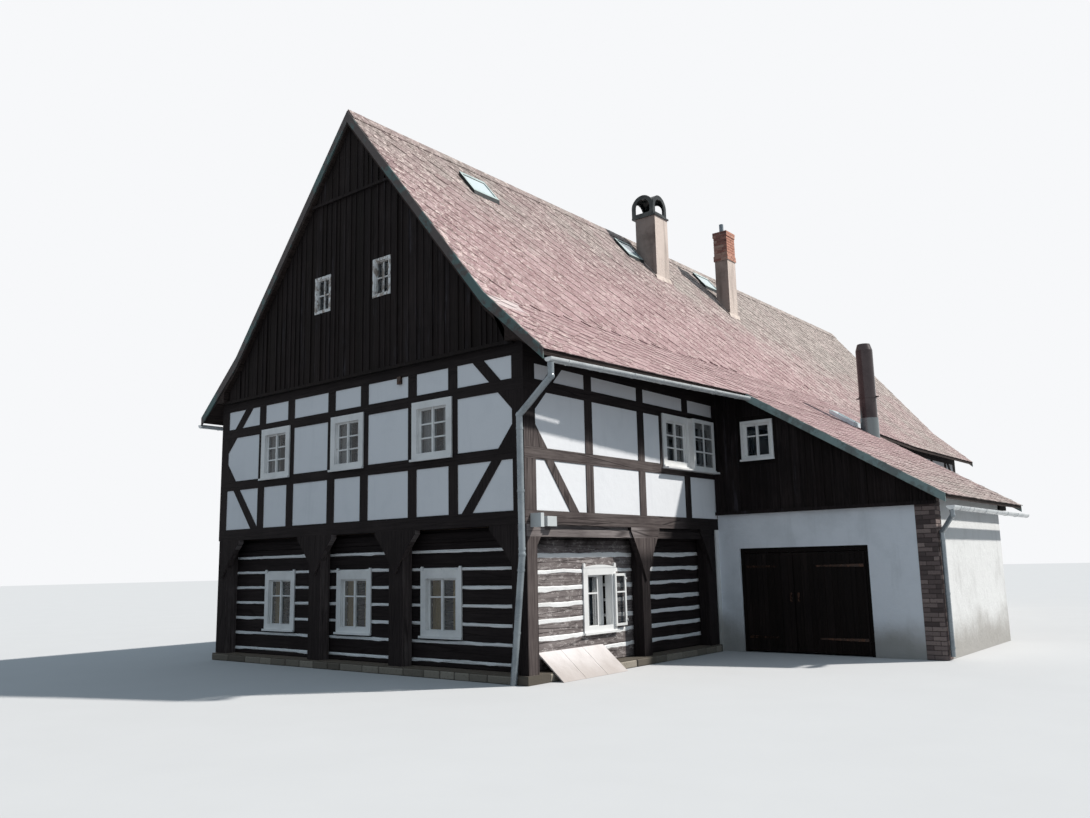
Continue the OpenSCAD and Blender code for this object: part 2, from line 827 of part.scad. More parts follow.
// Outer window that stands off the wall in front of the last upper one, on a common sill board
module storm_unit(glass) {
    w = storm_window[1] - storm_window[0];
    z = [row_z[0] - 50, row_z[1] + 50];
    v = [-135, -95];
    edge = 70;
    bar = 26;
    translate([(storm_window[0] + storm_window[1]) / 2, 0, z[0]])
        if (glass) {
            span([edge - w / 2, w / 2 - edge], [v[0] + 24, v[0] + 30], [edge, z[1] - z[0] - edge]);
        } else {
            ring(w, z[1] - z[0], edge, v);
            span([-bar / 2, bar / 2], [v[0], v[0] + 24], [edge, z[1] - z[0] - edge]);
            for (f = [1, 2]) {
                bar_z = edge - bar / 2 + f * (z[1] - z[0] - 2 * edge) / 3;
                span([edge - w / 2, w / 2 - edge], [v[0], v[0] + 24], [bar_z, bar_z + bar]);
            }
            span([-w / 2, 20 - w / 2], [v[1], 0], [0, z[1] - z[0]]);
        }
    if (!glass)
        span([side_windows_right[0][0] - 110, lean_y - 50], [v[0], 0], [z[0] - 30, z[0]]);
}

module gable_windows(glass) {
    for (b = gable_window_bays)
        place(gable_window(b), row_z, 0, glass);
    for (u = attic_windows)
        translate([u, -40, attic_window_z]) attic_unit(attic_window[0], attic_window[1], glass);
}

module front_windows(glass) {
    gable_windows(glass);
    place_all(front_ground_windows, ground_window, ground_window_z, log_set, glass, true);
    translate([0, lean_y - 40, 0]) place(lean_window, lean_window_z, 0, glass, 25);
}

module right_windows(glass) {
    on_right() {
        for (w = side_windows_right)
            place(w, row_z, 0, glass);
        storm_unit(glass);
        place_all(right_ground_windows, ground_window, ground_window_z, log_set, glass, true, true);
        place_all(barn_windows_right, barn_window, barn_window_z, 0, glass);
    }
}

module left_windows(glass) {
    on_left() {
        for (w = side_windows_left)
            place(w, row_z, 0, glass);
        place_all(left_ground_windows, ground_window, ground_window_z, log_set, glass, true);
        place_all(barn_windows_left, barn_window, barn_window_z, 0, glass);
    }
}

module back_windows(glass) {
    on_back() {
        gable_windows(glass);
        place_all(barn_windows_back, barn_window, barn_window_z, 0, glass);
    }
}

module windows_front() { color("#f2f2f0") front_windows(false); }
module windows_right() { color("#f2f2f0") right_windows(false); }
module windows_left() { color("#f2f2f0") left_windows(false); }
module windows_back() { color("#f2f2f0") back_windows(false); }

module window_glass() {
    color("#8aa0a8") {
        front_windows(true);
        right_windows(true);
        left_windows(true);
        back_windows(true);
        skylight_set(true);
    }
}

// Chimneys, flue and roof windows

module stack(c, top, wall) {
    difference() {
        span([c[0], c[1]], [c[2], c[3]], [0, top]);
        span([c[0] + wall, c[1] - wall], [c[2] + wall, c[3] - wall], [top - 900, top + 10]);
    }
}

// Mortar fillets where a stack leaves the slope, below it and along both sides
module fillets(c) {
    w = 60;
    z = [for (x = [c[0], c[1], c[1] + w]) above(steep_z(x))];
    sheet([c[2] - w, c[3] + w]) polygon([[c[1], z[1]], [c[1] + w, z[2]], [c[1], z[1] + 100]]);
    for (y = [[c[2] - w, c[2]], [c[3], c[3] + w]])
        sheet(y) polygon([[c[0], z[0]], [c[1], z[1]], [c[1], z[1] + w], [c[0], z[0] + w]]);
}

module chimney_rendered() {
    color("#9c8d7e") {
        stack(chimney_a, shaft_top, 120);
        fillets(chimney_a);
    }
}

// Band of wider courses round the brick stack
module corbel(z) {
    out = 20;
    c = chimney_b;
    difference() {
        span([c[0] - out, c[1] + out], [c[2] - out, c[3] + out], z);
        span([c[0], c[1]], [c[2], c[3]], [z[0] - 1, z[1] + 1]);
    }
}

module chimney_brick() {
    color("#8c5a4a") {
        stack(chimney_b, brick_top, 100);
        corbel([9960, 10112]);
        corbel([10648, brick_top]);
        fillets(chimney_b);
        translate([1150, 12270, brick_top - 900]) difference() {
            cylinder(r = 60, h = 1190, $fn = 32);
            translate([0, 0, 900]) cylinder(r = 46, h = 300, $fn = 32);
        }
    }
}

// Two crossing barrels of one radius on upright sides, down to foot under their springing
module crossing(r, reach, foot) {
    for (a = [0, 90]) rotate([0, 0, a]) sheet([-reach, reach])
        polygon(concat([[r, -foot]], arc([0, 0], r, 0, 180, 24), [[-r, -foot]]));
}

// Cross vaulted hood of sheet on the rendered stack, with an arched opening on all four sides
module chimney_hood() {
    slab = 40;
    shell = 35;
    foot = 240;
    mouth_r = 215;
    curb = 80;
    color("#23282a") {
        span([chimney_a[0] - 90, chimney_a[1] + 30], [chimney_a[2] - 30, chimney_a[3] + 30],
            [shaft_top, shaft_top + slab]);
        translate([hood_centre[0], hood_centre[1], shaft_top + slab + foot]) difference() {
            crossing(hood_r, hood_r, foot);
            crossing(hood_r - shell, hood_r - shell, foot - 10);
            crossing(mouth_r, hood_r + 10, foot - curb);
        }
    }
}

// Flue pipe with a narrowed mouth, a sleeve on the slates and a collar with two stay lugs
module flue_pipe() {
    foot_z = 4150;
    top_z = 2470;
    sleeve = 12;
    color("#3b3432") translate([flue[0], flue[1], foot_z]) {
        rotate_extrude($fn = 48)
            polygon([[0, 0], [flue_r, 0], [flue_r, top_z - 150], [flue_r - 45, top_z],
                [flue_r - 65, top_z], [flue_r - 25, top_z - 160], [flue_r - 25, 1800], [0, 1800]]);
        difference() {
            cylinder(r = flue_r + sleeve, h = 720, $fn = 48);
            translate([-flue[0], -flue[1], -foot_z]) sheet([flue[1] - 250, flue[1] + 250])
                polygon([[flue[0] - 250, 4000], [flue[0] + 250, 4000],
                    [flue[0] + 250, above(lean_z(flue[0] + 250))],
                    [flue[0] - 250, above(lean_z(flue[0] - 250))]]);
            cylinder(r = flue_r - 1, h = 730, $fn = 48);
        }
        translate([0, 0, 1180]) {
            cylinder(r = flue_r + sleeve, h = 50, $fn = 48);
            span([-flue_r - 70, flue_r + 70], [-15, 15], [10, 40]);
        }
    }
}

// Raised curb with a rim round a sunk pane; s gives its range along X and along Y
module skylight(s, glass) {
    rim = 50;
    sink = 25;
    pane = 6;
    z = [for (x = [s[0], s[1]]) x > break_x ? joined_z(x) : steep_z(x)];
    rise = (z[1] - z[0]) / (s[1] - s[0]);
    if (glass)
        sheet([s[2] + rim, s[3] - rim]) skylight_cut(s, z, rise, rim, curb_h - sink, curb_h - sink + pane);
    else
        difference() {
            sheet([s[2], s[3]]) skylight_cut(s, z, rise, 0, -100, curb_h);
            sheet([s[2] + rim, s[3] - rim]) skylight_cut(s, z, rise, rim, curb_h - sink, curb_h + 10);
        }
}

// Strip between two heights over the roof line, drawn in from both ends
module skylight_cut(s, z, rise, inset, low, high) {
    polygon([for (p = [[s[0] + inset, z[0] + rise * inset, low], [s[1] - inset, z[1] - rise * inset, low],
        [s[1] - inset, z[1] - rise * inset, high], [s[0] + inset, z[0] + rise * inset, high]])
        [p[0], p[1] + p[2]]]);
}

module skylight_set(glass) {
    for (s = concat(skylights, [low_skylight]))
        skylight(s, glass);
}

module skylight_frames() { color("#4a5054") skylight_set(false); }

// Gutters, downpipe and meter boxes

gutter_r = 70;

// Half round gutter between two points, with a stop at each end
module gutter(a, b) {
    v = b - a;
    l = norm(v);
    wall = 6;
    translate(a) rotate([-90 + asin(v[2] / l), 0, -atan2(v[0], v[1])]) difference() {
        cylinder(r = gutter_r, h = l, $fn = 32);
        translate([0, 0, wall]) cylinder(r = gutter_r - wall, h = l - 2 * wall, $fn = 32);
        translate([-gutter_r - 1, -gutter_r - 1, -1]) cube([2 * gutter_r + 2, gutter_r + 1, l + 2]);
    }
}

module gutters() {
    out = gutter_r + 3;
    color("#b7bcbd") {
        gutter([eave_x + out, -verge, 4675], [lean_start + out - 6, lean_span[0] - 60, 4775]);
        gutter([-eave_x - out, -verge, 4690], [-eave_x - out, house_l + verge, 4690]);
        gutter([lean_eave_x + out, lean_span[0] - 50, 2520], [lean_eave_x + out, lean_span[1], 2520]);
    }
}

// Pipe through a list of points, with round elbows
module pipe_run(points, d) {
    for (k = [0:len(points) - 2]) {
        v = points[k + 1] - points[k];
        l = norm(v);
        translate(points[k]) rotate([0, acos(v[2] / l), atan2(v[1], v[0])])
            cylinder(d = d, h = l, $fn = 24);
    }
    for (k = [1:len(points) - 2])
        translate(points[k]) sphere(d = 1.14 * d, $fn = 24);
}

module downpipe() {
    color("#9fb0b8") {
        pipe_run([[4603, -88, 4603], [4603, -88, 4400], [3990, -88, 3900], [4000, -88, 1850],
            [3800, -88, 0]], 100);
        pipe_run([[8402, 5700, 2448], [8402, 5700, 2360], [8140, 5960, 2100], [8140, 5960, 60]], 80);
    }
}

module meter_boxes() {
    color("#c9cdd0") {
        span([half, half + 200], [115, 190], [2245, 2450]);
        span([half, half + 80], [420, 645], [2265, 2415]);
    }
}

plinth_front();
plinth_sides();
plinth_skirt();
log_wall_front();
log_wall_right();
log_wall_left();
log_mortar();
props_front();
props_right();
props_left();
masonry_right();
masonry_left();
masonry_back();
ground_floor();
upper_floor();
attic_floor();
frame_front();
frame_right();
frame_left();
frame_back();
infill_front();
infill_right();
infill_left();
infill_back();
attic_boards_front();
attic_boards_back();
roof_right();
roof_left();
ridge_cap();
verge_boards();
lean_roof();
lean_boards();
lean_pier_left();
lean_pier_right();
lean_lintel();
brick_pier();
lean_side_wall();
lean_back_wall();
garage_frame();
garage_leaf_left();
garage_leaf_right();
entry_door();
windows_front();
windows_right();
windows_left();
windows_back();
window_glass();
chimney_rendered();
chimney_hood();
chimney_brick();
flue_pipe();
skylight_frames();
gutters();
downpipe();
meter_boxes();
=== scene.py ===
import math
from functools import reduce

import bpy
import numpy as np
from mathutils import Matrix, Vector


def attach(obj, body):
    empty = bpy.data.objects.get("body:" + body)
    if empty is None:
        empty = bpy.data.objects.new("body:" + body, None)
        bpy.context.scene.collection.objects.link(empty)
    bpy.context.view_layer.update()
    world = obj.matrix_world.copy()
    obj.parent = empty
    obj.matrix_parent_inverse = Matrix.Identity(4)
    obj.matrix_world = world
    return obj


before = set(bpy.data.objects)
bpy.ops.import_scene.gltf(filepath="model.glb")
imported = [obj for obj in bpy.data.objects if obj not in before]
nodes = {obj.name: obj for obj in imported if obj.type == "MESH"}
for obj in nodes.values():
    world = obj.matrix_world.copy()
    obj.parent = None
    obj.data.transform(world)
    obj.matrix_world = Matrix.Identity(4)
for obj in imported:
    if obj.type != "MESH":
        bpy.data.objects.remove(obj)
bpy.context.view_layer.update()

rng = np.random.default_rng(4)

# Sizes of the CAD model, in metres. The walls of the upper storey stand at X HALF and -HALF and at Y 0 and
# LENGTH, and the logs are set back from them. RAILS are the heights of its level timbers, the plates those
# of the beams on top of each storey.
HALF, LENGTH, LOG_SET = 4.0, 22.95, 0.26
RAILS = (2.29, 2.50), (3.27, 3.45), (4.32, 4.50), (4.74, 5.1)
PROP_PLATE, PLATE = 2.11, 5.06
# The roof's lines in X and Z, and how far it reaches past the gables
RIDGE, BREAK, EAVE, VERGE = (0.0, 10.06), (3.35, 5.90), (4.53, 4.81), 0.15
# The lean-to: its slope's top and foot in X and Z, its roof's ends and its two gables in Y, and its roof
# line as the height at X 0 and the fall for each metre
LEAN, LEAN_Y = ((4.84, 4.8515), (8.33, 2.714)), (5.67, 11.15)
LEAN_FRONT, LEAN_BACK = 5.86, 10.2
LEAN_LINE = 7.816, 0.6125
# The foot of the chimney pot and of the flue pipe's dark part
POT, FLUE = 10.84, 4.872


# Materials

def rgb(r, g, b):
    """A colour picked on the 0 to 255 scale, as a linear RGBA value."""
    line = [c / 255 / 12.92 if c <= 10 else ((c / 255 + 0.055) / 1.055) ** 2.4 for c in (r, g, b)]
    return (*line, 1.0)


class Look:
    """A procedural material on the Principled shader, in the frame's own metres."""

    def __init__(self, name, rough=0.8, metallic=0.0, specular=0.3):
        self.mat = bpy.data.materials.new(name)
        self.mat.use_nodes = True
        self.tree = self.mat.node_tree
        self.shader = self.tree.nodes["Principled BSDF"]
        self.shader.inputs["Roughness"].default_value = rough
        self.shader.inputs["Metallic"].default_value = metallic
        self.shader.inputs["Specular IOR Level"].default_value = specular
        self.place = self.node("ShaderNodeTexCoord").outputs["Object"]
        self.axes = self.node("ShaderNodeSeparateXYZ", {0: self.place}).outputs
        self.normal = None

    def node(self, kind, inputs=None, **props):
        made = self.tree.nodes.new(kind)
        for key, value in props.items():
            setattr(made, key, value)
        for key, value in (inputs or {}).items():
            self.put(made.inputs[key], value)
        return made

    def put(self, socket, value):
        if isinstance(value, bpy.types.NodeSocket):
            self.tree.links.new(value, socket)
        else:
            socket.default_value = value

    def math(self, op, a, b=0.0):
        return self.node("ShaderNodeMath", {0: a, 1: b}, operation=op).outputs[0]

    def times(self, *values):
        return reduce(lambda a, b: self.math("MULTIPLY", a, b), values)

    def plus(self, *values):
        return reduce(lambda a, b: self.math("ADD", a, b), values)

    def most(self, *values):
        return reduce(lambda a, b: self.math("MAXIMUM", a, b), values)

    def stretched(self, stretch):
        return self.node("ShaderNodeVectorMath", {0: self.place, 1: stretch},
                         operation="MULTIPLY").outputs[0]

    def noise(self, scale, stretch=(1, 1, 1), detail=4.0, rough=0.6):
        return self.node("ShaderNodeTexNoise", {"Vector": self.stretched(stretch), "Scale": scale,
                                                "Detail": detail, "Roughness": rough}).outputs[0]

    def cells(self, scale, stretch=(1, 1, 1), feature="F1"):
        return self.node("ShaderNodeTexVoronoi", {"Vector": self.stretched(stretch), "Scale": scale},
                         feature=feature).outputs["Distance"]

    def band(self, value, lo, hi):
        """0 below lo, 1 above hi, smooth between; the two may stand the other way round."""
        return self.node("ShaderNodeMapRange", {0: value, 1: lo, 2: hi},
                         interpolation_type="SMOOTHSTEP").outputs[0]

    def ramp(self, value, *stops):
        made = self.node("ShaderNodeValToRGB", {0: value})
        points = made.color_ramp.elements
        while len(points) < len(stops):
            points.new(0.5)
        for point, (at, colour) in zip(points, stops):
            point.position = at
            point.color = colour
        return made.outputs[0]

    def mix(self, share, a, b, blend="MIX"):
        made = self.node("ShaderNodeMix", {0: share, 6: a, 7: b}, data_type="RGBA", blend_type=blend)
        return made.outputs[2]

    def facing(self, axis):
        """How far a face looks along X (0) or Z (2), from -1 to 1."""
        normal = self.node("ShaderNodeNewGeometry").outputs["Normal"]
        return self.node("ShaderNodeSeparateXYZ", {0: normal}).outputs[axis]

    def sideways(self):
        """1 on the faces that look along X, either way, and 0 on the others."""
        return self.band(self.math("ABSOLUTE", self.facing(0)), 0.4, 0.6)

    def towards_x(self):
        """1 on the faces that look along +X, the paler side of the chimneys."""
        return self.band(self.facing(0), 0.4, 0.8)

    def shade(self):
        """The random number that each built piece carries on its vertices."""
        return self.node("ShaderNodeAttribute", attribute_name="shade").outputs["Fac"]

    def raised(self, height, distance, strength=1.0):
        inputs = {"Height": height, "Distance": distance, "Strength": strength}
        if self.normal is not None:
            inputs["Normal"] = self.normal
        self.normal = self.node("ShaderNodeBump", inputs).outputs[0]

    def done(self, colour, rough=None):
        self.put(self.shader.inputs["Base Color"], colour)
        if rough is not None:
            self.put(self.shader.inputs["Roughness"], rough)
        if self.normal is not None:
            self.put(self.shader.inputs["Normal"], self.normal)
        return self.mat


# How a noise is stretched to run along an axis
ALONG = {"x": (0.06, 1, 1), "y": (1, 0.06, 1), "z": (1, 1, 0.06)}


def fibres(look, axis, scale=26.0):
    """Tone, cracks and relief of sawn or hewn wood with its grain along an axis."""
    fibre = look.noise(scale, ALONG[axis], 6, 0.7)
    broad = look.noise(0.9, (1, 1, 1), 3)
    split = look.cells(9, tuple(s * (0.5 if s < 1 else 1) for s in ALONG[axis]), "DISTANCE_TO_EDGE")
    crack = look.band(split, 0.035, 0.0)
    tone = look.plus(look.times(fibre, 0.7), look.times(broad, 0.5))
    return tone, crack, look.math("SUBTRACT", fibre, crack)


def stained(look, tone, crack, dark, mid, pale):
    """The colour of wood by its tone, with dark cracks."""
    colour = look.ramp(tone, (0.32, dark), (0.55, mid), (0.9, pale))
    return look.mix(look.times(crack, 0.8), colour, dark)


def bleach_and_painted_shade(look, z, y):
    """1 where faces that look along X are greyed pale by sun and rain: on the right under z, if nearer than
    y or beyond the lean-to, and everywhere on the left. Where it is 0 on the right, above z or beyond y, it
    keeps
    wood dark that lies in shadow there: painted shade."""
    wave = look.times(look.noise(2.5, (1, 1, 1), 4), 0.3)
    low = look.band(look.plus(look.axes[2], wave), z + 0.3, z)
    near = look.most(look.band(look.plus(look.axes[1], wave), y + 0.6, y),
                     look.band(look.axes[1], 11.0, 12.5))
    left = look.band(look.axes[0], 0.0, -1.0)
    return look.times(look.sideways(), look.most(look.times(low, near), left))


def framed_wood(name):
    """Timber framing: rails have their grain along the wall, posts upwards, with a joint between.
    Tarred where it looks to the gables, greyed where it looks sideways, but on the right kept dark above
    3.75 m and beyond y 4.4: painted shade."""
    look = Look(name, 0.78, specular=0.12)
    z = look.axes[2]
    rails = look.most(*(look.times(look.band(z, lo - 0.004, lo + 0.002),
                                   look.band(z, hi + 0.004, hi - 0.002)) for lo, hi in RAILS))
    edge = look.times(rails, look.math("SUBTRACT", 1.0, rails), 3.6)
    side = look.sideways()
    # Painted shade: on the right the sideways timbers keep the dark tones above 3.75 m and beyond y 4.4.
    bleach_and_shade = bleach_and_painted_shade(look, 3.75, 4.4)
    grains = [fibres(look, axis) for axis in ("x", "y", "z")]
    flat = [look.mix(side, grains[0][i], grains[1][i]) for i in range(3)]
    tone, crack, height = (look.mix(rails, grains[2][i], flat[i]) for i in range(3))
    colour = look.mix(bleach_and_shade, stained(look, tone, crack, *BLACK), stained(look, tone, crack, *GREYED))
    colour = look.mix(edge, colour, rgb(8, 6, 6))
    look.raised(height, 0.006, 0.8)
    return look.done(colour)


def standing_wood(name):
    """Free standing posts and braces, tarred to the front and greyed at the side, with the long
    plate that lies on them there. On the right the posts beyond y 1.8 stay dark below their knees' heads,
    and all of them beyond y 3.6: painted shade."""
    look = Look(name, 0.8, specular=0.12)
    plate = look.times(look.sideways(), look.band(look.axes[2], PROP_PLATE - 0.005, PROP_PLATE + 0.005))
    upright, lying = fibres(look, "z"), fibres(look, "y")
    tone, crack, height = (look.mix(plate, upright[i], lying[i]) for i in range(3))
    # Painted shade: on the right only the knees' heads are greyed beyond y 1.8, and nothing beyond y 3.6.
    head = look.times(look.band(look.axes[2], 1.7, 2.0), bleach_and_painted_shade(look, 2.6, 3.6))
    colour = look.mix(look.most(head, bleach_and_painted_shade(look, 2.6, 1.8)),
                      stained(look, tone, crack, *BLACK), stained(look, tone, crack, *GREYED))
    # Painted shade as well: the plate is greyed only short of y 3.
    colour = look.mix(look.times(plate, bleach_and_painted_shade(look, 2.6, 3.0)), colour,
                      stained(look, tone, crack, *BLEACHED))
    look.raised(height, 0.006, 0.8)
    return look.done(colour)


def plain_wood(name, axis, *tones, spread=0.0, washed=None):
    """Boards, in a dark, a middle and a pale tone. spread is the share of each built board's own shade,
    washed the colour of thin runs."""
    look = Look(name, 0.8, specular=0.12)
    tone, crack, height = fibres(look, axis)
    colour = stained(look, tone, crack, *tones)
    if washed:
        runs = look.times(look.band(look.noise(9, ALONG[axis], 5, 0.7), 0.56, 0.72),
                          look.band(look.noise(1.1, (1, 1, 1), 3), 0.42, 0.6))
        colour = look.mix(look.times(runs, 0.7), colour, washed)
    if spread:
        own = look.ramp(look.shade(), (0, rgb(150, 140, 135)), (1, rgb(255, 255, 255)))
        colour = look.mix(spread, colour, own, "MULTIPLY")
    look.raised(height, 0.004, 0.8)
    return look.done(colour)


def log_wood(name, axis, sheltered, paler_side=None):
    """Hewn logs: long fibres, drying cracks and the flat bites of the axe. Where the sideways faces are
    greyed they also have specks of lime and pits. On the right they keep the sheltered tones above 2 m and
    beyond
    y 3: sheltered wood in part, and in part painted shade where shadow falls."""
    look = Look(name, 0.85, specular=0.12)
    tone, crack, height = fibres(look, axis, 20.0)
    colour = stained(look, tone, crack, *sheltered)
    if paler_side:
        # Painted shade in part: on the right the logs above 2 m and beyond y 3, which lie in shadow, keep
        # the dark tones.
        share = bleach_and_painted_shade(look, 2.0, 3.0)
        colour = look.mix(share, colour, stained(look, tone, crack, *paler_side))
        lime = look.times(look.band(look.noise(16, (1, 0.4, 1), 5, 0.8), 0.54, 0.6), share)
        colour = look.mix(look.times(lime, 0.45), colour, rgb(206, 200, 197))
        pits = look.times(look.band(look.noise(13, (1, 0.3, 1), 5, 0.8), 0.54, 0.6), share)
        colour = look.mix(look.times(pits, 0.5), colour, rgb(50, 44, 44))
    bites = look.cells(5.5, tuple(s * (4 if s < 1 else 1) for s in ALONG[axis]), "SMOOTH_F1")
    look.raised(bites, 0.03, 0.5)
    look.raised(height, 0.008, 0.9)
    return look.done(colour)


def limewash(name, base, stain, dirt, relief, trowel=0.02, foot=None, top=None, paler_side=None):
    """Trowelled lime plaster with faint patches and runs. foot is a height and the colour of splashes
    below it, top a height and the colour above it; the last argument is a paler colour for the faces
    towards +X."""
    look = Look(name, 0.9, specular=0.15)
    patches = look.noise(1.3, (1, 1, 1), 5)
    runs = look.noise(5.0, (1, 1, 0.12), 4)
    grain = look.noise(60, (1, 1, 1), 3)
    colour = look.mix(look.times(look.band(patches, 0.48, 0.72), dirt), base, stain)
    colour = look.mix(look.times(look.band(runs, 0.52, 0.75), dirt * 0.8), colour, stain)
    if paler_side is not None:
        pale = look.mix(look.times(look.band(runs, 0.45, 0.75), 0.6), paler_side, base)
        colour = look.mix(look.towards_x(), colour, pale)
    if top is not None:
        colour = look.mix(look.band(look.axes[2], top[0], top[0] + 0.01), colour, top[1])
    if foot is not None:
        splash = look.plus(look.axes[2], look.times(patches, -0.7))
        colour = look.mix(look.times(look.band(splash, foot[0], foot[0] - 0.7), 0.75), colour, foot[1])
    look.raised(look.noise(7, (1, 1, 1), 2), trowel, 0.5)
    look.raised(grain, relief, 0.8)
    return look.done(colour)


def slate_roof(name):
    """Fibre cement slates: a faded brown red, lichen grey towards the ridge and the far end."""
    look = Look(name, 0.85, specular=0.2)
    own = look.shade()
    blotch = look.noise(0.5, (1, 1, 1), 5, 0.65)
    fine = look.noise(22, (1, 1, 1), 5, 0.75)
    up = look.band(look.axes[2], 6.0, 10.0)
    far = look.band(look.axes[1], 3.0, 22.0)
    lean = look.band(look.axes[0], 5.2, 8.8)
    reach = look.plus(look.times(up, 0.4), look.times(far, 0.36), look.times(lean, 0.34))
    lichen = look.plus(reach, look.times(blotch, 0.55), look.times(fine, 0.3), look.times(own, 0.1))
    red = look.mix(own, rgb(150, 122, 123), rgb(174, 146, 147))
    grey = look.mix(own, rgb(138, 129, 124), rgb(164, 155, 149))
    colour = look.mix(look.band(lichen, 0.62, 1.0), red, grey)
    near_top = look.times(up, look.band(look.axes[1], 13.0, 5.0), 0.38)
    colour = look.mix(near_top, colour, rgb(112, 99, 96))
    colour = look.mix(look.times(lean, 0.22), colour, rgb(120, 112, 109))
    runs = look.band(look.noise(3.2, (0.12, 1, 0.12), 4, 0.7), 0.45, 0.7)
    colour = look.mix(look.times(runs, 0.35), colour, rgb(194, 172, 171))

    # Specks of moss and lichen, thickest high up, far off and along the front verge
    crust = look.plus(look.noise(1.6, (1, 1, 1), 4), look.times(reach, 0.25))
    crust = look.most(look.band(crust, 0.46, 0.74), look.band(look.axes[1], 1.6, 0.0))
    dark = look.band(look.noise(8, (1, 1, 1), 5, 0.85), 0.52, 0.56)
    pale = look.band(look.noise(9, (1, 1, 1), 5, 0.85), 0.53, 0.57)
    dark = look.times(dark, look.plus(look.times(crust, 0.42), 0.24))
    pale = look.times(pale, look.plus(look.times(crust, 0.36), 0.34))
    colour = look.mix(pale, look.mix(dark, colour, rgb(88, 72, 68)), rgb(226, 210, 203))

    # A pale repair by the front verge, at the top of the kick
    near = look.band(look.plus(look.axes[1], look.times(blotch, 0.6)), 0.82, 0.76)
    patch = look.times(near, look.band(look.axes[2], 5.62, 5.66), look.band(look.axes[2], 5.88, 5.85),
                       look.band(look.axes[0], 3.0, 3.1), 0.7)
    colour = look.mix(patch, colour, rgb(212, 200, 198))
    look.raised(fine, 0.004, 0.8)
    return look.done(colour)


def fired_clay(name, dark, mid, pale, paler_side=None):
    """Bricks and stones, each with its own shade; the last argument is a paler colour for the faces towards
    +X.
    """
    look = Look(name, 0.88, specular=0.2)
    own = look.shade()
    fine = look.noise(35, (1, 1, 1), 5)
    colour = look.ramp(own, (0.0, dark), (0.5, mid), (1.0, pale))
    if paler_side is not None:
        colour = look.mix(look.times(look.towards_x(), 0.65), colour, paler_side)
    colour = look.mix(look.times(look.band(fine, 0.5, 0.75), 0.55), colour, dark)
    look.raised(fine, 0.006, 0.9)
    return look.done(colour)


def chalky_paint(name, base, worn, share, rough, high=None):
    """Old paint on wood or sheet, flaked where the noise is high, and more so above a height."""
    look = Look(name, rough)
    chips = look.noise(14, (1, 1, 0.5), 6, 0.7)
    if high is not None:
        chips = look.plus(chips, look.times(look.band(look.axes[2], high, high + 0.1), 0.19))
    flake = look.band(chips, share, share + 0.06)
    dust = look.noise(2.2, (1, 1, 1), 4)
    colour = look.mix(look.band(dust, 0.35, 0.8), base, tuple(0.8 * c for c in base[:3]) + (1.0,))
    colour = look.mix(flake, colour, worn)
    look.raised(look.math("SUBTRACT", 1.0, flake), 0.002, 0.7)
    look.raised(look.noise(40, (1, 1, 0.2), 3), 0.001, 0.5)
    return look.done(colour)


def verge_paint(name):
    """Thin old paint on the verge boards, darker on the gables than on the lean-to."""
    look = Look(name, 0.65)
    chips = look.plus(look.noise(1.8, (1, 1, 1), 6, 0.7),
                      look.times(look.band(look.axes[2], 5.6, 8.0), 0.06))
    worn = look.band(chips, 0.47, 0.56)
    lean = look.times(look.band(look.axes[0], 4.5, 4.7), look.band(look.axes[1], 5.0, 5.4))
    gable = look.mix(worn, rgb(84, 106, 105), rgb(82, 76, 75))
    colour = look.mix(lean, gable, look.mix(worn, rgb(132, 152, 151), rgb(112, 122, 121)))
    grain = look.noise(30, (0.2, 1, 0.2), 4, 0.7)
    colour = look.mix(look.times(look.band(grain, 0.5, 0.7), 0.35), colour, rgb(44, 44, 46))
    look.raised(grain, 0.002, 0.7)
    return look.done(colour)


def sheet_metal(name, base, spot, metallic, scale=3.0, foot=None):
    """Dull sheet with clouds; foot gives a height and the colour below it."""
    look = Look(name, metallic=metallic)
    cloud = look.noise(scale, (1, 1, 1), 5, 0.7)
    bloom = look.band(look.cells(24), 0.1, 0.6)
    colour = look.mix(look.band(cloud, 0.4, 0.72), base, spot)
    colour = look.mix(look.times(bloom, 0.12), colour, spot)
    if foot:
        colour = look.mix(look.band(look.axes[2], foot[0], foot[0] - 0.01), colour, foot[1])
    look.raised(cloud, 0.003, 0.5)
    return look.done(colour, look.band(cloud, 0.1, 1.4))


def roof_light(name):
    """Sheet frames of the roof windows: dark on the curbs' sides, which is painted shade, and pale where
    they face the sky, which is faded sheet and painted light in one. The low window's curb is pale on its
    sides too.
    """
    look = Look(name, 0.5, 0.3)
    up = look.band(look.facing(2), 0.35, 0.5)
    cloud = look.band(look.noise(9, (1, 1, 1), 5, 0.7), 0.4, 0.7)
    # Pale tops: faded sheet, and painted light.
    top = look.mix(cloud, rgb(168, 184, 184), rgb(128, 142, 140))
    look.raised(cloud, 0.002, 0.5)
    low = look.band(look.axes[2], 6.0, 5.5)
    # Painted shade: dark curb sides, save on the low window, whose curb is pale.
    side = look.mix(low, look.mix(cloud, rgb(34, 40, 42), rgb(54, 58, 58)), rgb(214, 222, 228))
    return look.done(look.mix(up, side, top))


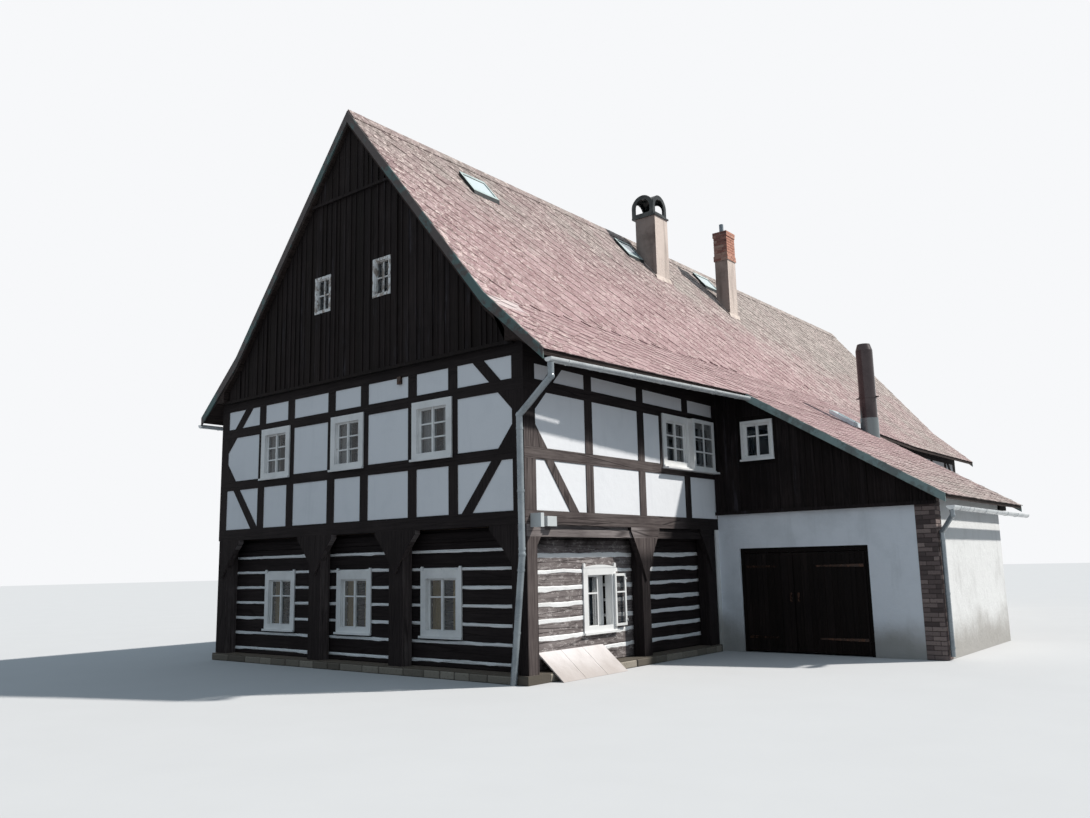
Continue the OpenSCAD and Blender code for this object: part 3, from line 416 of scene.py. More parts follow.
def pane_glass(name):
    """Old drawn glass with slow waves, under a faint blue-grey film a third opaque. On the roof windows the
    film is a pale, nearly opaque painted reflection of the sky.
    """
    look = Look(name, 0.04, specular=0.9)
    look.shader.inputs["IOR"].default_value = 1.5
    look.raised(look.noise(4, (1, 1, 1), 2), 0.006, 0.7)
    film_and_painted_sky = look.mix(look.band(look.noise(3, (1, 1, 1), 3), 0.4, 0.7), rgb(30, 37, 43), rgb(62, 72, 80))
    # Painted reflection: the panes that face upwards get a pale sky colour, nearly opaque.
    painted_sky_share = look.band(look.facing(2), 0.2, 0.4)
    film_and_painted_sky = look.mix(painted_sky_share, film_and_painted_sky, rgb(196, 212, 216))
    look.put(look.shader.inputs["Alpha"], look.plus(look.times(painted_sky_share, 0.65), 0.3))
    return look.done(film_and_painted_sky)


def cloth(name, base, painted_fold_shade):
    """Thin woven stuff with a faint darker second tone in upright streaks, which is painted shade of folds.
    """
    look = Look(name, 0.95, specular=0.1)
    look.raised(look.noise(220, (1, 1, 0.3), 2), 0.001, 0.5)
    # Painted shade: darker upright streaks where folds would lie in shadow.
    return look.done(look.mix(look.noise(6, (1, 1, 0.1), 3), base, painted_fold_shade))


# Dark, middle and pale tones of wood. BLACK also stands as painted shade on the sideways faces that lie in
# shadow on the right.
BLACK = rgb(15, 12, 14), rgb(27, 23, 24), rgb(52, 46, 46)
GREYED = rgb(42, 37, 37), rgb(76, 68, 67), rgb(118, 109, 106)
BLEACHED = rgb(64, 58, 58), rgb(112, 104, 103), rgb(160, 152, 150)
TARRED = rgb(11, 9, 10), rgb(23, 19, 20), rgb(54, 47, 47)

looks = {
    "timber": framed_wood("timber"), "prop": standing_wood("prop"),
    "log_front": log_wood("log_front", "x", BLACK),
    "log_side": log_wood("log_side", "y", BLACK, BLEACHED),
    "deck": plain_wood("deck", "y", rgb(26, 21, 20), rgb(48, 40, 38), rgb(78, 68, 64)),
    "boards": plain_wood("boards", "z", *TARRED, spread=0.9, washed=rgb(76, 74, 80)),
    "gate": plain_wood("gate", "z", rgb(10, 8, 8), rgb(21, 17, 17), rgb(44, 36, 34), spread=1.0),
    "floor": plain_wood("floor", "y", rgb(70, 56, 44), rgb(112, 92, 72), rgb(150, 128, 104)),
    "door": plain_wood("door", "z", rgb(48, 34, 24), rgb(86, 62, 44), rgb(124, 96, 70)),
    "mortar": limewash("mortar", rgb(246, 246, 246), rgb(214, 211, 208), 0.3, 0.01),
    "panel": limewash("panel", rgb(236, 237, 240), rgb(216, 218, 222), 0.3, 0.002, trowel=0.008),
    "render": limewash("render", rgb(230, 230, 229), rgb(190, 189, 187), 0.32, 0.006,
                       foot=(0.5, rgb(156, 151, 144))),
    "lean_render": limewash("lean_render", rgb(232, 236, 242), rgb(204, 209, 214), 0.45, 0.006,
                            foot=(0.5, rgb(146, 140, 130))),
    "stack_render": limewash("stack_render", rgb(154, 141, 134), rgb(112, 100, 94), 0.9, 0.014,
                             top=(POT, rgb(140, 150, 157)), paler_side=rgb(222, 207, 197)),
    "skirt": limewash("skirt", rgb(226, 221, 221), rgb(200, 192, 190), 0.45, 0.004,
                      foot=(0.3, rgb(168, 158, 152))),
    "stone": fired_clay("stone", rgb(92, 86, 78), rgb(126, 119, 109), rgb(158, 150, 138)),
    "slates": slate_roof("slates"),
    "brick": fired_clay("brick", rgb(100, 70, 64), rgb(144, 104, 94), rgb(164, 138, 126),
                        paler_side=rgb(222, 160, 136)),
    "old_brick": fired_clay("old_brick", rgb(76, 67, 66), rgb(110, 97, 95), rgb(146, 131, 126)),
    "casing": chalky_paint("casing", rgb(236, 236, 235), rgb(158, 148, 140), 0.68, 0.45, 6.2),
    "verge": verge_paint("verge"),
    "zinc": sheet_metal("zinc", rgb(226, 229, 229), rgb(184, 188, 190), 0.25),
    "pipe": sheet_metal("pipe", rgb(152, 160, 165), rgb(120, 129, 135), 0.3),
    "black_sheet": sheet_metal("black_sheet", rgb(36, 42, 44), rgb(70, 74, 74), 0.4),
    "roof_light": roof_light("roof_light"),
    "flue": sheet_metal("flue", rgb(76, 68, 69), rgb(50, 44, 47), 0.4, 1.2,
                        (FLUE, rgb(116, 124, 126))),
    "iron": sheet_metal("iron", rgb(42, 36, 34), rgb(78, 54, 42), 0.6, 12),
    "box_paint": chalky_paint("box_paint", rgb(205, 209, 210), rgb(160, 160, 158), 0.7, 0.4),
    "pane": pane_glass("pane"),
    "ochre_cloth": cloth("ochre_cloth", rgb(220, 198, 140), rgb(176, 150, 100)),
    "white_cloth": cloth("white_cloth", rgb(240, 240, 238), rgb(204, 204, 204)),
}

dress = {
    "stone": ["plinth_front", "plinth_sides"], "skirt": ["plinth_skirt"],
    "log_front": ["log_wall_front", "log_wall_left"], "log_side": ["log_wall_right"],
    "mortar": ["log_mortar"], "prop": ["props_front", "props_left", "props_right"],
    "render": ["masonry_right", "masonry_left", "masonry_back", "lean_side_wall", "lean_back_wall"],
    "floor": ["ground_floor", "upper_floor", "attic_floor"],
    "timber": ["frame_front", "frame_back", "frame_right", "frame_left"],
    "panel": ["infill_front", "infill_right", "infill_left", "infill_back"],
    "boards": ["attic_boards_front", "attic_boards_back", "lean_boards"],
    "deck": ["roof_right", "roof_left", "lean_roof"], "slates": ["ridge_cap"], "verge": ["verge_boards"],
    "lean_render": ["lean_pier_left", "lean_pier_right", "lean_lintel"], "old_brick": ["brick_pier"],
    "gate": ["garage_frame", "garage_leaf_left", "garage_leaf_right"], "door": ["entry_door"],
    "casing": ["windows_front", "windows_right", "windows_left", "windows_back"],
    "pane": ["window_glass"], "stack_render": ["chimney_rendered", "chimney_brick"],
    "black_sheet": ["chimney_hood"], "roof_light": ["skylight_frames"], "flue": ["flue_pipe"],
    "zinc": ["gutters"], "pipe": ["downpipe"], "box_paint": ["meter_boxes"],
}
for look, names in dress.items():
    for name in names:
        slots = nodes[name].data.materials
        slots.clear()
        slots.append(looks[look])


# Geometry

def linked(name, data):
    """A mesh, lamp or camera as a new object of the scene."""
    made = bpy.data.objects.new(name, data)
    bpy.context.scene.collection.objects.link(made)
    return made


def meshed(name, points, faces, material):
    mesh = bpy.data.meshes.new(name)
    mesh.from_pydata(points, [], faces)
    mesh.materials.append(material)
    return linked(name, mesh)


def about(middle, half):
    return middle - half, middle + half


def wall(x, y):
    """Carries points given as (along a wall, behind its face, height) into the frame. x and y each hold
    the shares of the first two in that coordinate, and an offset."""
    return Matrix(((x[0], x[1], 0, x[2]), (y[0], y[1], 0, y[2]), (0, 0, 1, 0), (0, 0, 0, 1)))


WALLS = {
    "front": wall((1, 0, 0), (0, 1, 0)), "back": wall((1, 0, 0), (0, -1, LENGTH)),
    "right": wall((0, -1, HALF), (1, 0, 0)), "left": wall((0, 1, -HALF), (1, 0, 0)),
    "lean": wall((1, 0, 0), (0, 1, LEAN_FRONT)), "lean_far": wall((1, 0, 0), (0, -1, LEAN_BACK)),
}


class Pile:
    """Gathers small solids, each with its own shade, into one mesh."""

    def __init__(self):
        self.points, self.faces, self.shades, self.count = [], [], [], 0

    def sweep(self, rings, place=None, flip=False):
        """A solid through rings with as many points each; flip turns its faces round."""
        n, total = len(rings[0]), len(rings[0]) * len(rings)
        faces = [tuple(range(n)), tuple(range(total - 1, total - n - 1, -1))]
        for p in range(0, total - n, n):
            faces += [(p + c, p + c + n, p + (c + 1) % n + n, p + (c + 1) % n) for c in range(n)]
        points = np.concatenate(rings)
        if place is not None:
            m = np.array(place)
            points = points @ m[:3, :3].T + m[:3, 3]
            if np.linalg.det(m[:3, :3]) < 0:
                flip = not flip
        self.faces += [tuple(i + self.count for i in (f[::-1] if flip else f)) for f in faces]
        self.points.append(points)
        self.shades.append(np.full(total, rng.random()))
        self.count += total

    def prism(self, outline, near, far, place=None):
        """An outline in X and Z, anticlockwise seen from -Y, between near and far on Y."""
        self.sweep([[(x, y, z) for x, z in outline] for y in (near, far)], place)

    def box(self, x, y, z, place=None):
        self.prism([(x[0], z[0]), (x[1], z[0]), (x[1], z[1]), (x[0], z[1])], *y, place)

    def made(self, name, look, slot, body="house", bevel=0.0):
        """The whole pile as one piece, which rides a body; slot is not used."""
        piece = meshed(name, np.concatenate(self.points).tolist(), self.faces, looks[look])
        shades = np.concatenate(self.shades).astype(np.float32)
        piece.data.attributes.new("shade", "FLOAT", "POINT").data.foreach_set("value", shades)
        if bevel:
            cut = piece.modifiers.new("edge", "BEVEL")
            cut.width = bevel
            cut.segments = 1
        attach(piece, body)


# Slates: width, height on the steep slopes and on the flat ones, thickness, cut corner, gap round each, the
# least that is laid of a cut one, and how much they vary in place, turn and lift
SLATE_W, SLATE_H, FLAT_H = 0.46, 0.44, 0.3
THICK, CORNER, GAP, LEAST = 0.005, 0.035, 0.004, 0.03
VARY_U, VARY_TURN, VARY_LIFT = 0.005, 0.012, 0.0025


def on_slope(top, foot, side, y, s, height):
    """The point at y that lies s down a slope from its top edge towards its foot, and height above it."""
    dx, dz = foot[0] - top[0], foot[1] - top[1]
    length = math.hypot(dx, dz)
    return side * (top[0] + (dx * s - dz * height) / length), y, top[1] + (dz * s + dx * height) / length


def slates(pile, top, foot, y, side, over, tall):
    """Diamond slates on one slope between a level top edge and foot(y), each lying on the two above it.
    The last ones reach past the foot by over."""
    length = max(math.dist(top, foot(v)) for v in np.linspace(*y, 40))
    w, h = SLATE_W / 2 - GAP, tall / 2 - GAP
    outline = [(-w, CORNER), (-w, -CORNER), (-CORNER, -h), (CORNER, -h), (w, -CORNER), (w, CORNER),
               (CORNER, h + 0.03), (-CORNER, h + 0.03)]
    for row in range(int(length / (tall / 2)) + 2):
        for k in range(int((y[1] - y[0]) / SLATE_W) + 2):
            u = y[0] + SLATE_W / 2 * (row % 2 - 1) + k * SLATE_W + rng.normal(0, VARY_U)
            turn = rng.normal(0, VARY_TURN)
            lift = 0.008 + abs(rng.normal(0, VARY_LIFT))
            under, upper, reach = [], [], []
            for a, b in outline:
                along = min(max(u + a - b * turn, y[0]), y[1])
                down = -b - a * turn
                s = min(max(row * tall / 2 + down, 0.0), math.dist(top, foot(along)) + over)
                high = lift + 0.014 * (down + h) / (2 * h)
                under.append(on_slope(top, foot(along), side, along, s, high - THICK))
                upper.append(on_slope(top, foot(along), side, along, s, high))
                reach.append((along, s))
            if min(max(r) - min(r) for r in zip(*reach)) > LEAST:
                pile.sweep([under, upper], flip=side > 0)


def eave(y):
    """Foot of the right slope: it widens towards the lean-to and turns back beyond it."""
    turn = LEAN_Y[0] + VERGE
    share = min(1.0, max(0.0, (y + VERGE) / turn if y < LEAN_Y[0] else 1 - (y - LEAN_Y[1]) / turn))
    return tuple(e + share * (j - e) for e, j in zip(EAVE, LEAN[0]))


right, left, leaning = Pile(), Pile(), Pile()
whole = (-VERGE, LENGTH + VERGE)
for pile, side in ((right, 1), (left, -1)):
    slates(pile, RIDGE, lambda y: BREAK, whole, side, 0.1, SLATE_H)
slates(left, BREAK, lambda y: EAVE, whole, -1, 0.02, FLAT_H)
slates(right, BREAK, eave, whole, 1, 0.02, FLAT_H)
slates(leaning, LEAN[0], lambda y: LEAN[1], LEAN_Y, 1, 0.03, FLAT_H)
right.made("slates_right", "slates", "shingle")
left.made("slates_left", "slates", "shingle")
leaning.made("slates_lean_to", "slates", "shingle")

# Corners of the steep slope's last slates, which stand off the kick below them
CORNERS, CORNER_STEP = 17, 0.4667
lips = Pile()
for k in range(CORNERS):
    y0 = 0.514 + CORNER_STEP * k + rng.normal(0, 0.02)
    rise = 0.03 + 0.012 * rng.random()
    corners = (y0, 0.0, rise), (y0 + 0.17, 0.13, rise), (y0 + 0.4, 0.0, 0.012)
    for side in (1, -1):
        low, high = [], []
        for at, s, lift in corners:
            for ring, height in ((low, 0.004), (high, lift)):
                x, y, z = on_slope(BREAK, eave(at) if side > 0 else EAVE, side, at, s, height)
                ring.append((x - side * 0.02, y, z + 0.015))
        lips.sweep([low, high], flip=side > 0)
lips.made("slate_corners", "slates", "shingle")

# Ridge caps, each over the next
CAP_STEP, CAP_LONG = 0.36, 0.4
caps, z = Pile(), RIDGE[1] + 0.03
for y in np.arange(-VERGE, LENGTH + VERGE, CAP_STEP):
    lift = 0.012 + abs(rng.normal(0, 0.003))
    outline = [(0.0, z - 0.002), (0.165, z - 0.2), (0.17, z - 0.185),
               (0.0, z + lift + 0.01), (-0.17, z - 0.185), (-0.165, z - 0.2)]
    caps.prism(outline, y, min(y + CAP_LONG, LENGTH + VERGE))
caps.made("ridge_tiles", "slates", "shingle")


def boards_in(pile, x, y, z_of, width, place, thick=0.02, strips=True):
    """Upright boards of uneven width across x, in front of the depth y. z_of gives the foot and the head at
    a place across. Strips lie over the joints."""
    def board(a, b, near, far):
        (foot_a, head_a), (foot_b, head_b) = z_of(a), z_of(b)
        pile.prism([(a, foot_a), (b, foot_b), (b, head_b), (a, head_a)], near, far, place)

    u = x[0]
    while u < x[1] - 0.01:
        e = min(u + width * (0.7 + 0.75 * rng.random()), x[1])
        a, b = u + 0.003, e - 0.003
        deep = thick * (0.4 + 0.7 * rng.random())
        if min(head - foot for foot, head in (z_of(a), z_of(b))) > 0.02:
            board(a, b, y - deep, y)
            if strips and e < x[1]:
                lap = 0.012 + 0.012 * rng.random()
                board(e - lap, min(e + lap, x[1]),
                      y - thick - 0.003 - 0.011 * rng.random(), y - deep + 0.004)
        u = e


def under_roof(x):
    """Height of the boards' head under the main roof."""
    x = abs(x)
    top, foot = (RIDGE, BREAK) if x < BREAK[0] else (BREAK, EAVE)
    return top[1] - (top[1] - foot[1]) / (foot[0] - top[0]) * (x - top[0]) - 0.27


# The gables' boards, in five fields across. The second and the fourth hold a small window.
DRIP, BOARD_FOOT = 8.48, PLATE + 0.02
FIELDS, ATTIC_Z = (-3.7, -0.987, -0.533, 0.638, 1.092, 3.7), (6.37, 7.07)


def under_drip(x):
    return min(DRIP, under_roof(x))


for side in ("front", "back"):
    pile, place = Pile(), WALLS[side]
    for i, field in enumerate(zip(FIELDS, FIELDS[1:])):
        if i in (1, 3):
            boards_in(pile, field, -0.04, lambda x: (BOARD_FOOT, ATTIC_Z[0]), 0.13, place)
            boards_in(pile, field, -0.04, lambda x: (ATTIC_Z[1], under_drip(x)), 0.13, place)
        else:
            boards_in(pile, field, -0.04, lambda x: (BOARD_FOOT, under_drip(x)), 0.15, place)
    boards_in(pile, (-1.08, 1.08), -0.062, lambda x: (DRIP + 0.004, under_roof(x)), 0.15, place)
    pile.box((-1.1, 1.1), (-0.105, -0.05), (DRIP - 0.03, DRIP + 0.02), place)
    pile.box((-3.85, 3.85), (-0.085, 0.0), (PLATE - 0.03, PLATE + 0.025), place)
    pile.made("gable_boarding_" + side, "boards", "boarding")

# The lean-to's boards, round its window in front
LEAN_FOOT, LEAN_END = 2.62, 8.1
WINDOW_X, WINDOW_Z = (4.545, 5.35), (3.5, 4.44)


def lean_top(x):
    return LEAN_LINE[0] - LEAN_LINE[1] * x - 0.16


def full(x):
    return LEAN_FOOT, lean_top(x)


pile = Pile()
for x, z_of in (((HALF, WINDOW_X[0]), full), (WINDOW_X, lambda x: (LEAN_FOOT, WINDOW_Z[0])),
                (WINDOW_X, lambda x: (WINDOW_Z[1], lean_top(x))), ((WINDOW_X[1], LEAN_END), full)):
    boards_in(pile, x, -0.04, z_of, 0.14, WALLS["lean"])
pile.box((HALF, LEAN_END + 0.02), (-0.09, 0.0), (LEAN_FOOT - 0.05, LEAN_FOOT + 0.01), WALLS["lean"])
boards_in(pile, (HALF, LEAN_END), -0.04, full, 0.14, WALLS["lean_far"])
pile.made("lean_to_boarding", "boards", "boarding")

# Window openings along each wall, and their kinds: height, depth of the wall's face, and glazing bars as
# shares of the pane's height
BAYS = ((-2.525, -1.815), (-0.417, 0.283), (1.689, 2.425))
ENDS = (0.0, 5.97, 11.63, 17.29, LENGTH)
LOG_WINDOWS = {"front": (-2.28, -0.14, 2.005), "right": (2.17,), "left": (2.17, 4.6, 7.3)}
ground = dict(z=(0.62, 1.57), v=LOG_SET, bars=(0.66,))
swung = dict(ground)
barn = dict(z=(0.9, 1.7), v=0.0, bars=(0.5,))
upper = dict(z=(3.45, 4.32), v=0.0, bars=(0.34, 0.67))
boarded = dict(z=(3.59, 4.33), v=-0.04, bars=(0.66,))


def paired(segments):
    """The upper windows in some segments of a long wall, two in each, to the nearest 2 mm."""
    found = []
    for k in segments:
        long, back = ENDS[k + 1] - ENDS[k], 0.4 if k == 3 else 0.0
        for f in ((0.670, 0.803), (0.832, 0.954)):
            found.append(tuple(ENDS[k] + 0.002 * round(g * long / 0.002) - back for g in f))
    return found


def openings_of(kind, spans):
    return [(span, kind) for span in spans]


def centred(kind, centres, width):
    return openings_of(kind, [about(c, width / 2) for c in centres])


WINDOWS = {
    "front": openings_of(upper, BAYS) + centred(ground, LOG_WINDOWS["front"], 0.74),
    "back": openings_of(upper, BAYS) + centred(barn, (-1.9, 1.9), 0.76),
    "right": openings_of(upper, paired((0, 2, 3))) + centred(swung, LOG_WINDOWS["right"], 0.74)
    + centred(barn, (13.6, 17.0, 20.4), 0.76),
    "left": openings_of(upper, paired((0, 1, 2, 3))) + centred(ground, LOG_WINDOWS["left"], 0.74)
    + centred(barn, (15.4, 18.2, 21.0), 0.76),
    "lean": openings_of(boarded, [(4.64, 5.255)]),
}

# Glazing bars, hinges, and the meeting strip and knob of the closed windows. EDGE is the lining and a
# stile; SHUT and OPEN are how deep the bars of a closed sash and of the open one lie.
STILE, EDGE, MEETING, BAR = 0.042, 0.087, 0.025, 0.012
SHUT, OPEN = (0.02, 0.05), (-0.068, -0.044)
for side, openings in WINDOWS.items():
    pile, place = Pile(), WALLS[side]
    for (a, b), kind in openings:
        (z0, z1), v, mid = kind["z"], kind["v"], (a + b) / 2
        panes = [((a + EDGE, mid - MEETING), SHUT)]
        if kind is swung:
            panes.append(((b + 0.01 + STILE, b + 0.01 + (b - a) / 2 - EDGE), OPEN))
        else:
            panes.append(((mid + MEETING, b - EDGE), SHUT))
            knob = z0 + 0.45 * (z1 - z0)
            pile.box(about(mid, 0.02), (v + 0.008, v + 0.025), (z0 + 0.05, z1 - 0.05), place)
            pile.box(about(mid, 0.007), (v - 0.004, v + 0.008), (knob, knob + 0.05), place)
        for x, deep in panes:
            near, far = v + deep[0], v + deep[1]
            for share in kind["bars"]:
                pile.box(x, (near, far), about(z0 + EDGE + share * (z1 - z0 - 2 * EDGE), BAR), place)
            hinge = x[0] - STILE if x[0] < mid else x[1] + STILE
            for z in (z0 + EDGE + 0.03, z1 - EDGE - 0.06):
                pile.box(about(hinge, 0.006), (near - 0.006, near + 0.004), (z, z + 0.035), place)
    pile.made("glazing_bars_" + side, "casing", "window_paint")

# Mortar between the logs, smeared unevenly over their edges: for each wall its ends, the height of the
# first joint, the step to the next, and half the joint's width. Joints WANDER up and down and SWELL between
# places that are a STEP_U apart.
LOGS = {
    "front": ((-3.74, 3.74), 0.232, 0.285, 0.025),
    "right": ((0.46, 5.74), 0.349, 0.2475, 0.048),
    "left": ((0.46, 11.7), 0.349, 0.2475, 0.03),
}
JOINTS, STEP_U, WANDER, SWELL = 7, 0.09, 0.016, 0.014


def uneven(n):
    """Random numbers, evened out over five neighbours."""
    return np.convolve(rng.normal(0, 1, n + 4), np.ones(5) / 5, "valid")


for side, (reach, first, step, width) in LOGS.items():
    pile = Pile()
    for z in (first + k * step for k in range(JOINTS)):
        cuts = [reach[0]]
        if ground["z"][0] - 0.08 < z < ground["z"][1] + 0.08:
            for centre in LOG_WINDOWS[side]:
                cuts += about(centre, 0.46)
        cuts.append(reach[1])
        for a, b in zip(cuts[::2], cuts[1::2]):
            us = np.linspace(a, b, max(2, int((b - a) / STEP_U)) + 1)
            mids = z + WANDER * uneven(len(us))
            halves = width + SWELL * uneven(len(us))
            rings = []
            for u, m, h in zip(us, mids, halves):
                face = LOG_SET - 0.004 + 0.004 * rng.random()
                rings.append([(u, LOG_SET + 0.02, m - h), (u, face, m - h * 0.7),
                              (u, face - 0.003, m + h * 0.4), (u, LOG_SET + 0.02, m + h)])
            pile.sweep(rings, WALLS[side])
    pile.made("mortar_smear_" + side, "mortar", "mortar")

# Garage leaves: boards with open joints, strap hinges with bolts, a pull. The bolts are at shares of a
# strap's length, and turn is the way from the hinges.
GATE_Y, GATE_Z = 5.905, (0.03, 1.82)
STRAPS, BOLTS, PULL = (0.28, 1.57), (0.08, 0.35, 0.62, 0.85), (0.95, 1.07)
for name, x, turn in (("left", (4.508, 5.476), 1), ("right", (5.484, 6.822), -1)):
    place = Matrix.Translation((0, GATE_Y, 0))
    boards, irons = Pile(), Pile()
    boards_in(boards, x, 0.0, lambda v: GATE_Z, 0.11, place, 0.012, strips=False)
    boards.made("gate_boards_" + name, "gate", "gate_wood", "leaf_" + name)
    hinge, meeting = x[::turn]
    root, grip = hinge + turn * 0.03, meeting - turn * 0.07
    long = 0.66 * (x[1] - x[0])
    tip = root + turn * long
    for z in STRAPS:
        outline = [(root, z - 0.026), (tip - turn * 0.03, z - 0.014), (tip, z),
                   (tip - turn * 0.03, z + 0.014), (root, z + 0.026)]
        irons.prism(outline[::turn], -0.018, -0.009, place)
        for share in BOLTS:
            irons.box(about(root + turn * long * share, 0.009), (-0.023, -0.017), about(z, 0.009), place)
    irons.box(about(grip, 0.02), (-0.018, -0.009), (PULL[0] - 0.02, PULL[1] + 0.02), place)
    irons.box(about(grip, 0.007), (-0.043, -0.035), PULL, place)
    for z in (PULL[0], PULL[1] - 0.014):
        irons.box(about(grip, 0.007), (-0.039, -0.015), (z, z + 0.014), place)
    irons.made("gate_irons_" + name, "iron", "black_sheet", "leaf_" + name)


def laid(start, end, brick, joint, first=0.0):
    """The bricks of one course from start to end, the first one shortened by first, without slivers."""
    u = start - first
    while u < end - 0.03:
        a, b = max(u, start), min(u + brick, end)
        if b - a > 0.03:
            yield a, b
        u += brick + joint


# Bricks of the lean-to's pier: its face, its depth, a brick's length and joint, a course's step and height
PIER_X, PIER_DEEP, COURSES = (7.752, 8.084), 0.3, 35
BRICK, COURSE, BRICK_H = (0.24, 0.01), 0.077, 0.066
pile = Pile()
for course in range(COURSES):
    z = 0.01 + course * COURSE
    shift = 0.0 if course % 2 else 0.12
    for span in laid(*PIER_X, *BRICK, shift + 0.002):
        pile.box(span, (LEAN_FRONT - 0.006 - 0.004 * rng.random(), LEAN_FRONT + 0.05), (z, z + BRICK_H))
    for span in laid(LEAN_FRONT, LEAN_FRONT + PIER_DEEP, *BRICK, shift):
        pile.box((8.03, 8.086 + 0.004 * rng.random()), span, (z, z + BRICK_H))
pile.made("pier_bricks", "old_brick", "brick", bevel=0.004)

# Bricks of the chimney's head, whose two lowest and two highest courses stand out
CHIMNEY, HEAD, HEAD_COURSES = ((1.01, 1.40), (12.04, 12.50)), 9.966, 11
HEAD_BRICK, HEAD_COURSE, HEAD_BRICK_H = (0.235, 0.009), 0.0758, 0.067
pile = Pile()
for course in range(HEAD_COURSES):
    z = HEAD + course * HEAD_COURSE
    out = 0.024 if course < 2 or course >= HEAD_COURSES - 2 else 0.008
    for axis, side in ((0, 0), (0, 1), (1, 0), (1, 1)):
        (lo, hi), face, sign = CHIMNEY[axis], CHIMNEY[1 - axis][side], 2 * side - 1
        inset = 0.0 if axis == course % 2 else 0.1
        for span in laid(lo - out + inset, hi + out - inset, *HEAD_BRICK):
            deep = sorted((face + sign * (out + 0.003 * rng.random()), face - sign * 0.09))
            pile.box(*((deep, span) if axis else (span, deep)), (z, z + HEAD_BRICK_H))
pile.made("chimney_bricks", "brick", "brick", bevel=0.004)

# Stones of the plinth
for side, (a, b) in (("front", (-4.03, 4.03)), ("right", (0.46, 5.7)), ("left", (0.46, 11.7))):
    pile = Pile()
    while a < b:
        e = min(a + 0.3 + 0.35 * rng.random(), b)
        if e - a > 0.1:
            pile.box((a + 0.008, e - 0.008), (-0.038 - 0.012 * rng.random(), 0.0),
                     (0.0, 0.118 - 0.01 * rng.random()), WALLS[side])
        a = e
    pile.made("plinth_stones_" + side, "stone", "stone", bevel=0.012)

# Small outlet box under the front gable's plate
pile = Pile()
pile.box((1.245, 1.335), (-0.035, 0.02), (4.745, 4.88))
pile.box((1.262, 1.318), (-0.045, -0.03), (4.765, 4.80))
pile.made("outlet_box", "iron", "black_sheet", bevel=0.004)

# Brackets and joints of the gutters, which are given by the ends of their axes; a drip strip; clips of the
# pipes, which are given by their ends, radius and the shares of their length where clips are
GUTTER_R = 0.07
GUTTERS = (((4.603, -0.15, 4.675), (4.907, 5.61, 4.775)), ((-4.603, -0.15, 4.69), (-4.603, 23.1, 4.69)),
           ((8.403, 5.62, 2.52), (8.403, 11.15, 2.52)))
DRIP_STRIP = (4.62, 1.45, 4.70), (4.83, 5.6, 4.772)
PIPES = (((3.99, -0.088, 3.9), (4.0, -0.088, 1.85), 0.05, (0.1, 0.55, 0.96)),
         ((4.0, -0.088, 1.85), (3.8, -0.088, 0.0), 0.05, (0.12, 0.6)),
         ((8.14, 5.96, 2.1), (8.14, 5.96, 0.06), 0.04, (0.06, 0.5, 0.93)))


def half_rings(pile, start, end, step, width, thick):
    """Half rings round a gutter, whose axis runs from start to end."""
    length = (end - start).length
    along = (end - start).normalized()
    out = along.cross(Vector((0, 0, 1))).normalized()
    down = along.cross(out).normalized()
    inner, outer = GUTTER_R - 0.001, GUTTER_R + thick
    for k in range(int(length / step)):
        centre = start + along * (k + 0.5) * step
        pile.sweep([[centre + along * shift + (out * math.cos(t) + down * math.sin(t)) * r
                     for shift, r in ((0, inner), (0, outer), (width, outer), (width, inner))]
                    for t in np.linspace(0, math.pi, 11)])


def collar(pile, centre, axis, radius, width):
    """A band round a pipe, square to its axis."""
    m = axis.to_track_quat("Z", "Y").to_matrix().to_4x4()
    m.translation = centre
    turns = np.linspace(0, math.tau, 20, False)
    pile.sweep([[(radius * math.cos(t), radius * math.sin(t), z) for t in turns]
                for z in about(0, width / 2)], m, flip=True)


pile = Pile()
for start, end in GUTTERS:
    half_rings(pile, Vector(start), Vector(end), 0.82, 0.025, 0.006)
    half_rings(pile, Vector(start), Vector(end), 1.9, 0.06, 0.003)
pile.sweep([[(x + dx, y, z + dz) for dx, dz in ((0, -0.03), (0.003, -0.03), (-0.02, 0.05), (-0.023, 0.05))]
            for x, y, z in DRIP_STRIP])
pile.made("gutter_brackets", "zinc", "zinc")

pile = Pile()
for start, end, radius, shares in PIPES:
    a, b = Vector(start), Vector(end)
    for share in shares:
        collar(pile, a.lerp(b, share), b - a, radius + 0.006, 0.035)
pile.made("pipe_clips", "pipe", "pipe_paint")

# Curtains behind the panes, on rods: how deep their folds are, how far behind the wall's face the rods
# are, and the room left at the sides of an opening
FOLD, BEHIND, MARGIN = 0.014, 0.135, 0.03


def curtain(name, look, x, z, v, folds, side):
    """One sheet in even folds, hung from its wall's rods."""
    n = 8 * folds
    us = np.linspace(*x, n + 1)
    wave = v + FOLD * np.sin(np.linspace(0, folds * math.tau, n + 1)) * (1 + 0.3 * np.sin(us * 17))
    m = np.array(WALLS[side])
    low, top = (np.stack([us, wave, np.full(n + 1, height)], 1) for height in z)
    points = np.concatenate([top, low]) @ m[:3, :3].T + m[:3, 3]
    faces = [(i, i + 1, i + n + 2, i + n + 1) for i in range(n)]
    made = meshed(name, points.tolist(), faces, looks[look])
    made.data.shade_smooth()
    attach(made, "house")
    width = float(np.linalg.norm(np.diff(top, axis=0), axis=1).sum())


